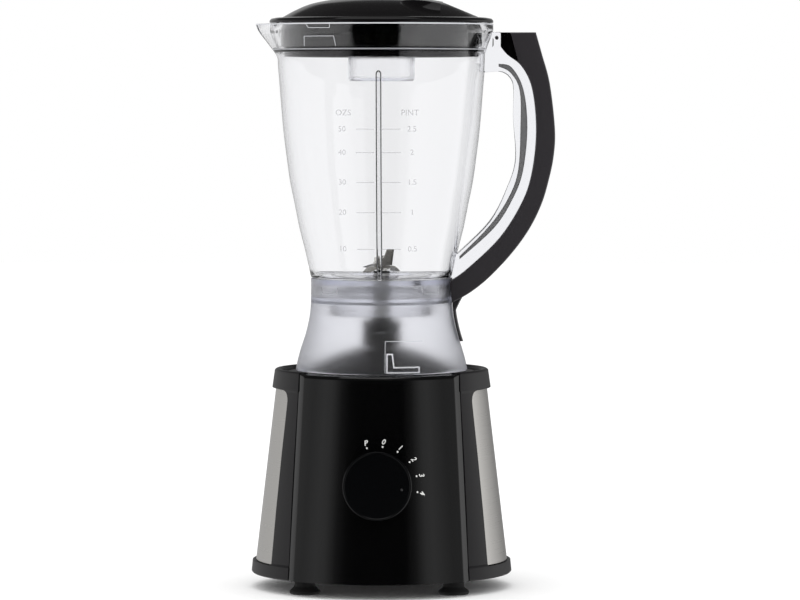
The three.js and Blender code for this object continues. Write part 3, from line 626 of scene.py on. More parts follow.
def copies_tree() -> Repeat:
    """Geometry tree that repeats a piece in even turns about an axis through a pivot.

    Returns:
        The tree, and its inputs' identifiers by name.
    """
    tree = bpy.data.node_groups.new("TurnedCopies", "GeometryNodeTree")
    ids = sockets(tree, "INPUT", {
        "Geometry": ("NodeSocketGeometry", None), "Count": ("NodeSocketInt", 4),
        "Start": ("NodeSocketFloat", 0.0), "Step": ("NodeSocketFloat", math.pi / 2),
        "Turn Axis": ("NodeSocketVector", (0, 0, 1)), "Pivot": ("NodeSocketVector", (0, 0, 0)),
        "Finish": ("NodeSocketMaterial", None),
    })
    sockets(tree, "OUTPUT", {"Geometry": ("NodeSocketGeometry", None)})
    given = tree.nodes.new("NodeGroupInput").outputs
    back = add(tree, "ShaderNodeVectorMath", operation="SCALE")
    give(tree, back.inputs[0], given["Pivot"])
    give(tree, back.inputs["Scale"], -1.0)
    home = add(tree, "GeometryNodeTransform", {"Geometry": given["Geometry"], "Translation": back.outputs[0]})
    places = add(tree, "GeometryNodePoints", {"Count": given["Count"], "Position": given["Pivot"]})
    index = add(tree, "GeometryNodeInputIndex")
    angle = sums(tree, "MULTIPLY_ADD", index.outputs[0], given["Step"], given["Start"])
    spin = add(tree, "FunctionNodeAxisAngleToRotation", {"Axis": given["Turn Axis"], "Angle": angle})
    copies = add(tree, "GeometryNodeInstanceOnPoints", {
        "Points": places.outputs[0], "Instance": home.outputs[0], "Rotation": spin.outputs[0],
    })
    end_repeat(tree, copies.outputs[0], given["Finish"])
    return tree, ids


def corners_tree() -> Repeat:
    """Geometry tree that stands a piece on the four corners of a rectangle.

    Returns:
        The tree, and its inputs' identifiers by name.
    """
    tree = bpy.data.node_groups.new("FourCorners", "GeometryNodeTree")
    ids = sockets(tree, "INPUT", {
        "Geometry": ("NodeSocketGeometry", None), "Spread X": ("NodeSocketFloat", 0.1),
        "Spread Y": ("NodeSocketFloat", 0.1), "Finish": ("NodeSocketMaterial", None),
    })
    sockets(tree, "OUTPUT", {"Geometry": ("NodeSocketGeometry", None)})
    given = tree.nodes.new("NodeGroupInput").outputs
    grid = add(tree, "GeometryNodeMeshGrid", {
        "Vertices X": 2, "Vertices Y": 2, "Size X": given["Spread X"], "Size Y": given["Spread Y"],
    })
    copies = add(tree, "GeometryNodeInstanceOnPoints", {
        "Points": grid.outputs["Mesh"], "Instance": given["Geometry"],
    })
    end_repeat(tree, copies.outputs[0], given["Finish"])
    return tree, ids


def repeat(obj: bpy.types.Object, made: Repeat, **values: object) -> None:
    """Runs a geometry tree on a piece and keeps the result as its mesh.

    Args:
        obj: the piece that is repeated.
        made: the tree and its sockets' identifiers.
        values: a value for each named input, with spaces as underscores.
    """
    tree, ids = made
    step = obj.modifiers.new("Repeat", "NODES")
    step.node_group = tree
    for name, value in values.items():
        step[ids[name.replace("_", " ")]] = value
    flatten(obj)


# ---- shared surface effects: node groups that give masks, values and heights ----


def effect(name: str, inputs: dict[str, tuple[str, object]], outputs: Sequence[str]) -> bpy.types.NodeTree:
    """Starts a shader group.

    Args:
        name: the group's name.
        inputs: each input's type and first value, by name.
        outputs: names of its values.

    Returns:
        The group, with no nodes yet.
    """
    tree = bpy.data.node_groups.new(name, "ShaderNodeTree")
    sockets(tree, "INPUT", inputs)
    sockets(tree, "OUTPUT", {o: ("NodeSocketFloat", 0.0) for o in outputs})
    return tree


def swung(tree: bpy.types.NodeTree, noise: bpy.types.NodeSocket, middle: bpy.types.NodeSocket,
          spread: bpy.types.NodeSocket) -> bpy.types.NodeSocket:
    """A value that a noise moves up and down about its middle.

    Args:
        tree: the group.
        noise: a value between 0 and 1.
        middle: the value that it swings about.
        spread: how far it swings.

    Returns:
        The socket with the result.
    """
    return sums(tree, "MULTIPLY_ADD", sums(tree, "SUBTRACT", noise, 0.5), spread, middle)


def mould_grain() -> bpy.types.NodeTree:
    """Fine spark-eroded grain of a moulded surface, with slow patches where it has been handled.

    Returns:
        The group.
    """
    tree = effect("MouldGrain", {
        "Scale": ("NodeSocketFloat", 900.0), "Roughness": ("NodeSocketFloat", 0.4),
        "Spread": ("NodeSocketFloat", 0.1),
    }, ("Height", "Roughness", "Patch"))
    given = tree.nodes.new("NodeGroupInput").outputs
    place = add(tree, "ShaderNodeTexCoord").outputs["Object"]
    fine, slow = (
        add(tree, "ShaderNodeTexNoise", {"Vector": place, "Scale": scale, "Detail": detail}).outputs[0]
        for scale, detail in ((given["Scale"], 3.0), (22.0, 5.0))
    )
    rough = swung(tree, slow, given["Roughness"], given["Spread"])
    add(tree, "NodeGroupOutput", {"Height": fine, "Roughness": rough, "Patch": slow})
    return tree


def brushed_lines() -> bpy.types.NodeTree:
    """Long fine scratches that run level round a brushed sheet.

    Returns:
        The group.
    """
    tree = effect("BrushedLines", {
        "Fineness": ("NodeSocketFloat", 2600.0), "Length": ("NodeSocketFloat", 14.0),
        "Roughness": ("NodeSocketFloat", 0.3), "Spread": ("NodeSocketFloat", 0.15),
    }, ("Height", "Roughness", "Line"))
    given = tree.nodes.new("NodeGroupInput").outputs
    place = add(tree, "ShaderNodeTexCoord").outputs["Object"]
    split = add(tree, "ShaderNodeSeparateXYZ", {0: place}).outputs
    stretch = add(tree, "ShaderNodeCombineXYZ", {
        axis: sums(tree, "MULTIPLY", split[axis], given[key])
        for axis, key in (("X", "Length"), ("Y", "Length"), ("Z", "Fineness"))
    }).outputs[0]
    noise = add(tree, "ShaderNodeTexNoise", {"Vector": stretch, "Scale": 1.0, "Detail": 3.0}).outputs[0]
    rough = swung(tree, noise, given["Roughness"], given["Spread"])
    add(tree, "NodeGroupOutput", {"Height": noise, "Roughness": rough, "Line": noise})
    return tree


@dataclass(frozen=True)
class Effects:
    """The shared groups, built once."""

    grain: bpy.types.NodeTree
    brushed: bpy.types.NodeTree

    @classmethod
    def make(cls) -> "Effects":
        """Builds both groups."""
        return cls(mould_grain(), brushed_lines())


EFFECTS = Effects.make()


# ---- finishes ----


@dataclass(frozen=True)
class Finish:
    """A surface with two close colours, a grain or brushed effect and a bump.

    The plain numbers are the same all over, so they sit on the shader's own sockets.
    """

    name: str
    colour: Colour
    second: Colour
    roughness: float
    spread: float = 0.08
    scale: float = 900.0
    bump: float = 0.05
    metallic: float = 0.0
    specular: float = 0.5
    brushed: bool = False
    coat: float = 0.0
    coat_roughness: float = 0.03
    bump_depth: float = 0.0002
    transmission: float = 0.0
    ior: float = 1.5
    density: float = 0.0
    tint: Colour = (0.425, 0.475, 0.75)
    alpha: float = 1.0

    def build(self) -> bpy.types.Material:
        """Makes the material.

        Returns:
            The material.
        """
        mat = bpy.data.materials.new(self.name)
        mat.use_nodes = True
        tree = mat.node_tree
        tree.nodes.clear()
        size, mask = ("Fineness", "Line") if self.brushed else ("Scale", "Patch")
        group = add(tree, "ShaderNodeGroup", {
            size: self.scale, "Roughness": self.roughness, "Spread": self.spread,
        }, node_tree=EFFECTS.brushed if self.brushed else EFFECTS.grain)
        bsdf = add(tree, "ShaderNodeBsdfPrincipled", {
            "Base Color": blend(tree, group.outputs[mask], (*self.colour, 1.0), (*self.second, 1.0)),
            "Roughness": group.outputs["Roughness"], "Metallic": self.metallic, "Alpha": self.alpha,
            "IOR": self.ior, "Specular IOR Level": self.specular, "Transmission Weight": self.transmission,
            "Coat Weight": self.coat, "Coat Roughness": self.coat_roughness,
        })
        out = add(tree, "ShaderNodeOutputMaterial", {"Surface": bsdf.outputs[0]})
        if self.bump:
            give(tree, bsdf.inputs["Normal"], add(tree, "ShaderNodeBump", {
                "Strength": self.bump, "Distance": self.bump_depth, "Height": group.outputs["Height"],
            }).outputs[0])
        if self.density:
            give(tree, out.inputs["Volume"], add(tree, "ShaderNodeVolumeAbsorption", {
                "Color": (*self.tint, 1.0), "Density": self.density,
            }).outputs[0])
        return mat


def dress(obj: bpy.types.Object, finish: bpy.types.Material) -> None:
    """Gives a whole piece one finish.

    Args:
        obj: the piece.
        finish: the material.
    """
    obj.data.materials.clear()
    obj.data.materials.append(finish)
    obj.data.polygons.foreach_set("material_index", [0] * len(obj.data.polygons))


def mount(obj: bpy.types.Object, finish: str, body: str, slot: str, *nodes: str) -> None:
    """Dresses a piece and hands it to the frame.

    Args:
        obj: the piece, with its final shape.
        finish: its finish in the palette.
        body: the body that it moves with.
        slot: the name of a material slot; not used.
        nodes: the solids that it stands for.
    """
    dress(obj, FINISHES(finish))
    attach(obj, body)
    if nodes:
        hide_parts(*nodes)
    log.info("%s rides on %s, %d faces", obj.name, body, len(obj.data.polygons))


@dataclass(frozen=True)
class Palette:
    """Every finish on the blender, and the floor's."""

    satin: Finish = Finish("satin_black_plastic", (0.0085, 0.0078, 0.0088), (0.0115, 0.0108, 0.0120),
                           0.42, 0.06, 1500.0, 0.10, specular=0.38)
    grip: Finish = Finish("satin_grip_plastic", (0.026, 0.0235, 0.027), (0.031, 0.028, 0.032),
                          0.32, 0.06, 1500.0, 0.08, coat=0.6)
    panel: Finish = Finish("gloss_black_panel", (0.0012, 0.0012, 0.0013), (0.0018, 0.0018, 0.0020),
                           0.07, 0.03, 60.0, 0.0)
    knob: Finish = Finish("knob_black", (0.0010, 0.0012, 0.0016), (0.0016, 0.0018, 0.0022),
                          0.24, 0.05, 2200.0, 0.05, specular=0.25)
    # Painted shade: near-black, barely reflective copy of the grip's black for the grip's sunk facets,
    # standing in for the shade in those hollows.
    facet: Finish = Finish("sunk_facet_painted_shade", (0.0006, 0.0006, 0.0007), (0.0010, 0.0010, 0.0011),
                           0.16, 0.03, 300.0, 0.0, specular=0.08)
    lid: Finish = Finish("lid_gloss_black", (0.0030, 0.0027, 0.0030), (0.0045, 0.0040, 0.0045),
                         0.12, 0.04, 420.0, 0.02, specular=0.25)
    plug: Finish = Finish("lid_plug_black", (0.0020, 0.0020, 0.0022), (0.0030, 0.0030, 0.0032),
                          0.035, 0.01, 420.0, 0.0, specular=0.95)
    # Painted shade: dark sheet along the inner rib's flanks, standing in for the dark lines that the clear
    # rib shows by refraction.
    smoke: Finish = Finish("rib_edge_painted_shade", (0.030, 0.030, 0.034), (0.050, 0.050, 0.054),
                           0.3, 0.08, 300.0, 0.1, alpha=0.78)
    # Painted shade: grey sheet on the floor of the web's groove and in its root slit, standing in for the
    # dark line that the clear web shows there.
    shade: Finish = Finish("groove_painted_shade", (0.17, 0.17, 0.175), (0.23, 0.23, 0.235),
                           0.35, 0.08, 60.0, 0.1, alpha=0.72)
    # Painted highlight: pale line standing in for light caught in raised edges and ledges of the clear and
    # frosted plastic.
    glint: Finish = Finish("painted_highlight_line", (0.74, 0.75, 0.80), (0.86, 0.87, 0.90),
                           0.3, 0.08, 600.0, 0.1, alpha=0.75)
    steel: Finish = Finish("brushed_steel", (0.60, 0.585, 0.56), (0.66, 0.645, 0.62),
                           0.30, 0.16, 2600.0, 0.06, metallic=1.0, brushed=True)
    rubber: Finish = Finish("rubber_black", (0.010, 0.010, 0.010), (0.018, 0.018, 0.018),
                            0.75, 0.15, 700.0, 0.25)
    clear: Finish = Finish("clear_jar_plastic", (0.984, 0.985, 0.988), (0.988, 0.988, 0.990),
                           0.015, 0.01, 40.0, 0.02, transmission=1.0, ior=1.45, density=7.0, specular=0.46)
    cup: Finish = Finish("clear_cup_plastic", (0.997, 0.997, 1.0), (1.0, 1.0, 1.0),
                         0.02, 0.01, 40.0, 0.02, transmission=1.0, ior=1.16, density=8.0, alpha=0.5)
    frost: Finish = Finish("frosted_collar_plastic", (0.955, 0.957, 0.972), (0.975, 0.977, 0.99),
                           0.30, 0.05, 500.0, 0.04, transmission=1.0, ior=1.38, density=20.0)
    mark: Finish = Finish("raised_volume_mark", (0.42, 0.42, 0.46), (0.55, 0.55, 0.58),
                          0.4, 0.1, 800.0, 0.1, alpha=0.36)
    print_white: Finish = Finish("white_pad_print", (0.78, 0.78, 0.76), (0.88, 0.88, 0.86),
                                 0.5, 0.1, 1200.0, 0.1)
    bright: Finish = Finish("polished_steel", (0.62, 0.61, 0.58), (0.70, 0.69, 0.66),
                            0.16, 0.10, 1800.0, 0.05, metallic=1.0, brushed=True)
    blade: Finish = Finish("ground_blade_steel", (0.20, 0.19, 0.17), (0.30, 0.29, 0.265),
                           0.24, 0.12, 1400.0, 0.08, metallic=1.0, brushed=True)
    screw: Finish = Finish("zinc_screw", (0.50, 0.50, 0.49), (0.62, 0.62, 0.60),
                           0.28, 0.15, 1500.0, 0.1, metallic=1.0)
    holder: Finish = Finish("holder_plastic", (0.98, 0.98, 0.99), (0.99, 0.99, 1.0),
                            0.25, 0.08, 900.0, 0.06, transmission=1.0, ior=1.14, alpha=0.32)
    gasket: Finish = Finish("silicone_gasket", (0.80, 0.81, 0.85), (0.86, 0.87, 0.90),
                            0.55, 0.1, 500.0, 0.1, alpha=0.35)
    copper: Finish = Finish("enamelled_copper", (0.42, 0.13, 0.04), (0.62, 0.24, 0.09),
                            0.32, 0.12, 2400.0, 0.5, metallic=0.9, brushed=True)
    iron: Finish = Finish("laminated_iron", (0.13, 0.135, 0.14), (0.22, 0.225, 0.23),
                          0.48, 0.2, 3200.0, 0.5, metallic=0.8, brushed=True)
    brass: Finish = Finish("brass_fitting", (0.52, 0.36, 0.12), (0.66, 0.48, 0.20),
                           0.3, 0.12, 1200.0, 0.15, metallic=1.0)
    carbon: Finish = Finish("dark_moulding", (0.018, 0.018, 0.019), (0.032, 0.032, 0.033),
                            0.55, 0.15, 900.0, 0.25)
    board: Finish = Finish("circuit_board_green", (0.012, 0.075, 0.022), (0.020, 0.110, 0.035),
                           0.35, 0.15, 260.0, 0.3)
    sweep: Finish = Finish("pale_sweep", (0.985, 0.985, 0.985), (0.99, 0.99, 0.99),
                           0.9, 0.05, 40.0, 0.0, specular=0.0)
    pale: Finish = Finish("pale_moulding", (0.58, 0.58, 0.56), (0.68, 0.68, 0.66), 0.45, 0.1, 900.0, 0.2)


class Finishes:
    """Builds each finish of the palette once, when it is first asked for."""

    def __init__(self, palette: Palette) -> None:
        """Keeps the palette."""
        self.palette = palette
        self.made: dict[str, bpy.types.Material] = {}

    def __call__(self, name: str) -> bpy.types.Material:
        """The material for a finish of the palette.

        Args:
            name: the finish's name in the palette.

        Returns:
            Its material.
        """
        if name not in self.made:
            self.made[name] = getattr(self.palette, name).build()
        return self.made[name]


FINISHES = Finishes(Palette())


# ---- base ----


@dataclass
class BaseHousing:
    """Black cone with a plinth, a shoulder band, two recessed steel panels, a deck and four feet."""

    steel_drop: float = 2.2
    steel_thickness: float = 0.8
    steel_low: float = 20.6
    steel_high: float = 146.6
    steel_from: float = 57.2
    steel_to: float = 121.0
    steel_corner: float = 9.0
    steel_gap: float = 0.45
    corner_r: float = 84.0
    deck_reach: float = 61.6
    foot_spread: Pair = (108.04, 110.05)
    inlet_z: float = 32.0

    @property
    def corner_turn(self) -> float:
        """Angle that a rounded corner of the steel panel takes up, in degrees."""
        return math.degrees(self.steel_corner / self.corner_r)

    def steel_angles(self, margin: float, side: int) -> list[float]:
        """Angles of the steel panel's columns, close together near its rounded corners.

        Args:
            margin: how far the outline is grown.
            side: -1 for the left panel, 1 for the right one.

        Returns:
            The angles off the front, in degrees.
        """
        low, high = self.steel_from - margin, self.steel_to + margin
        corner = self.corner_turn
        near = [corner * (1 - math.cos(math.pi / 2 * k / 8)) for k in range(9)]
        middle = [low + corner + (high - low - 2 * corner) * k / 30 for k in range(1, 30)]
        angles = [low + n for n in near] + middle + [high - n for n in reversed(near)]
        return [side * a for a in angles]

    def steel_top(self, margin: float) -> Reach:
        """Height of the steel panel's upper edge at an angle, with its corners rounded.

        Args:
            margin: how far the outline is grown.

        Returns:
            The height at an angle off the front in degrees.
        """
        low, high = self.steel_from - margin, self.steel_to + margin
        corner = self.corner_turn

        def top(angle: float) -> float:
            """Height at one angle.

            Args:
                angle: angle off the front, in degrees.

            Returns:
                The height.
            """
            into = min(abs(angle) - low, high - abs(angle)) / corner
            drop = 1 - math.sqrt(max(0.0, 1 - (1 - min(1.0, max(0.0, into))) ** 2))
            return self.steel_high + margin * 1.4 - self.steel_corner * drop

        return top

    def steel_plate(self, name: str, side: int, margin: float, inner: float,
                    outer: float) -> bpy.types.Object:
        """A plate on the steel panel's outline, between two depths below the housing's face.

        Args:
            name: the piece's name.
            side: -1 for the left panel, 1 for the right one.
            margin: how far the outline is grown.
            inner: depth of the inner face.
            outer: depth of the outer face.

        Returns:
            The plate.
        """
        return curved_plate(name, self.steel_angles(margin, side), self.steel_top(margin),
                            self.steel_low - margin * 1.4, lambda z: HOUSING.radius(z) - inner,
                            lambda z: HOUSING.radius(z) - outer)

    def shell(self) -> bpy.types.Object:
        """The black outer wall with its recesses.

        Returns:
            The finished wall.
        """
        r = HOUSING.radius
        profile = ring_profile([
            (r(14) - 5.8, 10.8), (94.8, 10.8, 0.8), (95.8, 11.8, 1.2), (r(20.0) + 0.3, 20.0, 0.9),
            (r(21.6) - 0.5, 21.6, 0.8), (r(60), 60), (r(100), 100), (r(145.6) - 0.5, 145.6, 0.5),
            (r(146.6) + 0.5, 147.4, 0.7), (r(159.4) + 0.2, 160.0, 1.4), (77.2, 161.0, 1.2),
            (75.2, 161.0, 0.8), (73.4, 159.8, 0.8), (73.0, 157), (r(157) - 5.8, 153), (r(15) - 5.8, 15),
        ])
        obj = lathe("housing_shell", profile, 240, sharp=28)
        back = self.steel_drop + self.steel_thickness + 0.1
        cutters = [self.steel_plate("recess", side, self.steel_gap, back, -14.0) for side in (-1, 1)]
        cutters.append(PANEL.solid("panel_pocket", 0.95, 1.4))
        turns = [math.radians(a) for a in range(-45, 46, 5)]
        relief = [(0.0, 0.0)] + [(120 * math.sin(a), -120 * math.cos(a)) for a in turns]
        ends = (PANEL.high + 0.1, 180.0)
        cutters.append(loft("front_relief", [[(x, y, z) for x, y in relief] for z in ends]))
        combine(obj, cutters, Join.CUT, 28)
        return obj

    def deck(self) -> bpy.types.Object:
        """The seat and dome under the jug, with a hole for the safety pin.

        Returns:
            The finished deck.
        """
        dome = spline([(57.4, 158.6), (52, 162.6), (34, 170.6), (16, 176)], 8)
        under = spline([(16, 173.4), (34, 168), (51, 160), (57, 155.4)], 8)
        ledge = rounded([(72.6, 155.2), (72.6, 157.4, 0.6), (68.6, 158.6, 1.5)])
        profile = ledge + dome + [(9.2, 176.8), (9.2, 173.4)] + under
        obj = lathe("seat_deck", profile, 160)
        spot = self.deck_reach * math.sqrt(0.5)
        hole = lathe("pin_hole", [(0, 140), (3.0, 140), (3.0, 175), (0, 175)], 40,
                     place=Matrix.Translation((-spot, spot, 0)))
        combine(obj, [hole], Join.CUT)
        return obj

    def foot(self) -> bpy.types.Object:
        """One rubber foot, standing on the axis.

        Returns:
            The foot.
        """
        profile = rounded([
            (0, 0), (10.2, 0, 0.5), (11.2, 0.8, 0.7), (11.2, 2.2, 0.8), (7.6, 5.6, 2.0), (7.4, 11.1, 0.3),
            (4.9, 11.1), (4.9, 16.4), (0, 16.4),
        ], 4)
        return lathe("rubber_feet", profile, 56)

    def build(self) -> None:
        """Builds and dresses the base."""
        mount(self.shell(), "satin", "base", "shell_black", "base_shell")
        back = self.steel_drop + self.steel_thickness
        for side, label in ((-1, "left"), (1, "right")):
            plate = self.steel_plate(f"brushed_panel_{label}", side, 0.0, back, self.steel_drop)
            mount(plate, "steel", "base", "steel", f"steel_panel_{label}")
        mount(self.deck(), "satin", "base", "shell_black", "top_deck")
        feet = self.foot()
        feet.data.transform(Matrix.Translation(-AXIS))
        wide, deep = self.foot_spread
        repeat(feet, corners_tree(), Spread_X=wide * MM, Spread_Y=deep * MM, Finish=FINISHES("rubber"))
        feet.data.transform(Matrix.Translation(AXIS))
        mount(feet, "rubber", "base", "rubber", "foot_1", "foot_2", "foot_3", "foot_4")
        inlet = lathe("cord_grommet", ring_profile([
            (3.6, -9), (9, -9), (9, -6.6, 0.3), (6.9, -6.3), (6.9, 0.6), (8.6, 0.6, 0.3), (8.6, 2.6, 0.9),
            (6.4, 4.6, 1.2), (5.4, 11.6, 0.5), (3.6, 12),
        ]), 64, place=level(0, HOUSING.radius(self.inlet_z), self.inlet_z, HOUSING.tilt - math.pi / 2))
        mount(inlet, "rubber", "base", "rubber", "cord_inlet")


@dataclass
class ControlPanel:
    """Gloss panel on the front of the base, its printed dial and its speed knob."""

    half_top: float = 57.7
    half_bottom: float = 65.0
    low: float = 11.0
    high: float = 159.4
    edge: float = 4.2
    top_bend: float = 3.0
    top_sink: float = 2.2
    knob_r: float = 24.9
    knob_depth: float = 16.7
    pointer_r: float = 17.8
    dot_r: float = 28.7
    dot_half: float = 0.64
    text_r: float = 32.2
    first_turn: float = -16.0
    turn_step: float = 22.8
    legend: str = "P01234"
    letter: float = 5.2

    def half(self, z: float) -> float:
        """Half width of the panel at a height."""
        rise = (z - HOUSING.bottom_z) / (self.high - HOUSING.bottom_z)
        return self.half_bottom + (self.half_top - self.half_bottom) * rise

    def section(self, z: float, margin: float, depth: float, proud: float) -> list[Point]:
        """Closed outline of the panel at one height, from the left round the front to the right.

        Args:
            z: the height.
            margin: how far the outline is grown.
            depth: how far it goes into the wall.
            proud: how far its face stands off the wall.

        Returns:
            The outline's points.
        """
        r = HOUSING.radius(z)
        outer = r + proud + margin
        half = self.half(z) + margin
        foot = math.asin(half / r)
        face = math.asin((half - self.edge) / (r + HOUSING.proud))
        arc = [(r - depth, -foot), (r, -foot)]
        bend = [(0.42, 0.50), (0.82, 0.92), (0.92, 1.0)]
        arc += [(r + (outer - r) * h, -foot + (foot - face) * t) for t, h in bend]
        arc += [(outer, -face + 2 * face * k / 56) for k in range(57)]
        arc += [(r + (outer - r) * h, foot - (foot - face) * t) for t, h in reversed(bend)]
        arc += [(r, foot), (r - depth, foot)]
        arc += [(r - depth, foot - 2 * foot * k / 20) for k in range(1, 20)]
        return [(radius * math.sin(a), -radius * math.cos(a), z) for radius, a in arc]

    def solid(self, name: str, margin: float = 0.0, depth: float = 0.7) -> bpy.types.Object:
        """The panel as a solid, or its pocket where it is grown by a margin.

        Args:
            name: the piece's name.
            margin: how far the outline is grown.
            depth: how far it goes into the wall.

        Returns:
            The solid.
        """
        low, high = self.low - 2 * margin, self.high + margin
        bend = high - self.top_bend
        heights = [low + (bend - low) * k / 24 for k in range(25)]
        rows = [self.section(z, margin, depth, HOUSING.proud) for z in heights]
        for k in range(1, 9):
            a = math.pi / 2 * k / 8
            proud = HOUSING.proud - self.top_sink * (1 - math.cos(a)) * (margin == 0)
            rows.append(self.section(bend + self.top_bend * math.sin(a), margin, depth, proud))
        return loft(name, rows, 40)

    def printed(self) -> bpy.types.Object:
        """White dots and characters round the knob, printed on the panel.

        Returns:
            All the marks as one object.
        """
        z = HOUSING.knob_z
        dot = lathe("dot", [(0, -0.15), (self.dot_half, -0.15), (self.dot_half, 0.12), (0, 0.12)], 20,
                    place=level(0, 0, z + self.dot_r))
        repeat(dot, copies_tree(), Count=len(self.legend), Start=math.radians(self.first_turn),
               Step=math.radians(self.turn_step), Turn_Axis=(0.0, 1.0, 0.0), Pivot=(AXIS.x, AXIS.y, z * MM),
               Finish=FINISHES("print_white"))
        marks = [dot]
        for i, character in enumerate(self.legend):
            degrees = self.first_turn + i * self.turn_step
            a = math.radians(degrees)
            marks.append(lettering("mark", character, self.letter, self.text_r * math.sin(a),
                                   z + self.text_r * math.cos(a), degrees, slant=0.25, height=0.12,
                                   weight=0.06))
        obj = merged("dial_print", marks)
        wrap(obj, HOUSING.panel_radius)
        return obj

    def knob(self) -> bpy.types.Object:
        """The speed knob: a flat-faced disc with a thin raised rim.

        Returns:
            The knob with its stem.
        """
        r, d = self.knob_r, self.knob_depth
        profile = rounded([
            (0, 0.6), (r - 1.2, 0.6, 0.5), (r, 1.8, 0.6), (r - 0.2, d - 0.8, 0.5), (r - 0.7, d, 0.4),
            (r - 1.3, d, 0.3), (r - 1.8, d - 0.5, 0.3), (0, d - 0.5),
        ], 4)
        obj = lathe("speed_dial", profile, 160, place=self.knob_place())
        stem = lathe("stem", [(0, -16), (3.1, -16), (3.1, 1), (0, 1)], 40, place=self.knob_place())
        return merged("speed_dial", [obj, stem])

    def knob_place(self) -> Matrix:
        """Turn and shift from the knob's own axis to its place on the panel.

        Returns:
            The turn and shift, in millimetres, with the pointer at the last mark.
        """
        z = HOUSING.knob_z
        last_turn = self.first_turn + (len(self.legend) - 1) * self.turn_step
        stand = level(0, -HOUSING.panel_radius(z), z, math.pi / 2 - HOUSING.tilt)
        return stand @ Matrix.Rotation(math.radians(-last_turn), 4, "Z")

    def build(self) -> None:
        """Builds and dresses the panel, its print and the knob."""
        mount(self.solid("control_panel"), "panel", "base", "panel_black", "front_panel")
        mount(self.printed(), "print_white", "base", "panel_black")
        mount(self.knob(), "knob", "knob", "panel_black", "speed_knob")
        dot = lathe("pointer_dot", rounded([(0, -0.6), (0.9, -0.6), (0.9, 0.15, 0.1), (0, 0.15)], 2), 32,
                    place=self.knob_place() @ Matrix.Translation((0, self.pointer_r, self.knob_depth - 0.5)))
        mount(dot, "carbon", "knob", "panel_black")


PANEL = ControlPanel()


@dataclass(frozen=True)
class MotorWorks:
    """The hidden works, which keep their solids and get their own finishes."""

    finishes: tuple[tuple[str, str], ...] = (
        ("bottom_cover", "satin"), ("cover_screw_", "screw"), ("speed_switch", "pale"),
        ("motor_stator", "iron"), ("field_coil", "copper"), ("motor_bracket", "iron"), ("bearing_", "bright"),
        ("brush_holder", "brass"), ("carbon_brush", "carbon"), ("brush_spring", "screw"),
        ("motor_mount", "rubber"), ("motor_shaft", "bright"), ("armature", "copper"),
        ("commutator", "copper"), ("cooling_fan", "carbon"), ("drive_coupling", "rubber"),
        ("shaft_seal", "rubber"), ("control_board", "board"), ("interlock_switch", "carbon"),
        ("interlock_pin", "pale"), ("spindle_bush", "pale"), ("spindle_seal", "rubber"),
        ("jar_coupling", "rubber"),
    )

    def build(self) -> None:
        """Dresses every solid that stays in view or stays inside."""
        for start, finish in self.finishes:
            for name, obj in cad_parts.items():
                if name.startswith(start):
                    dress(obj, FINISHES(finish))
                    log.info("%s keeps its solid, finished in %s", name, finish)


# ---- jug ----


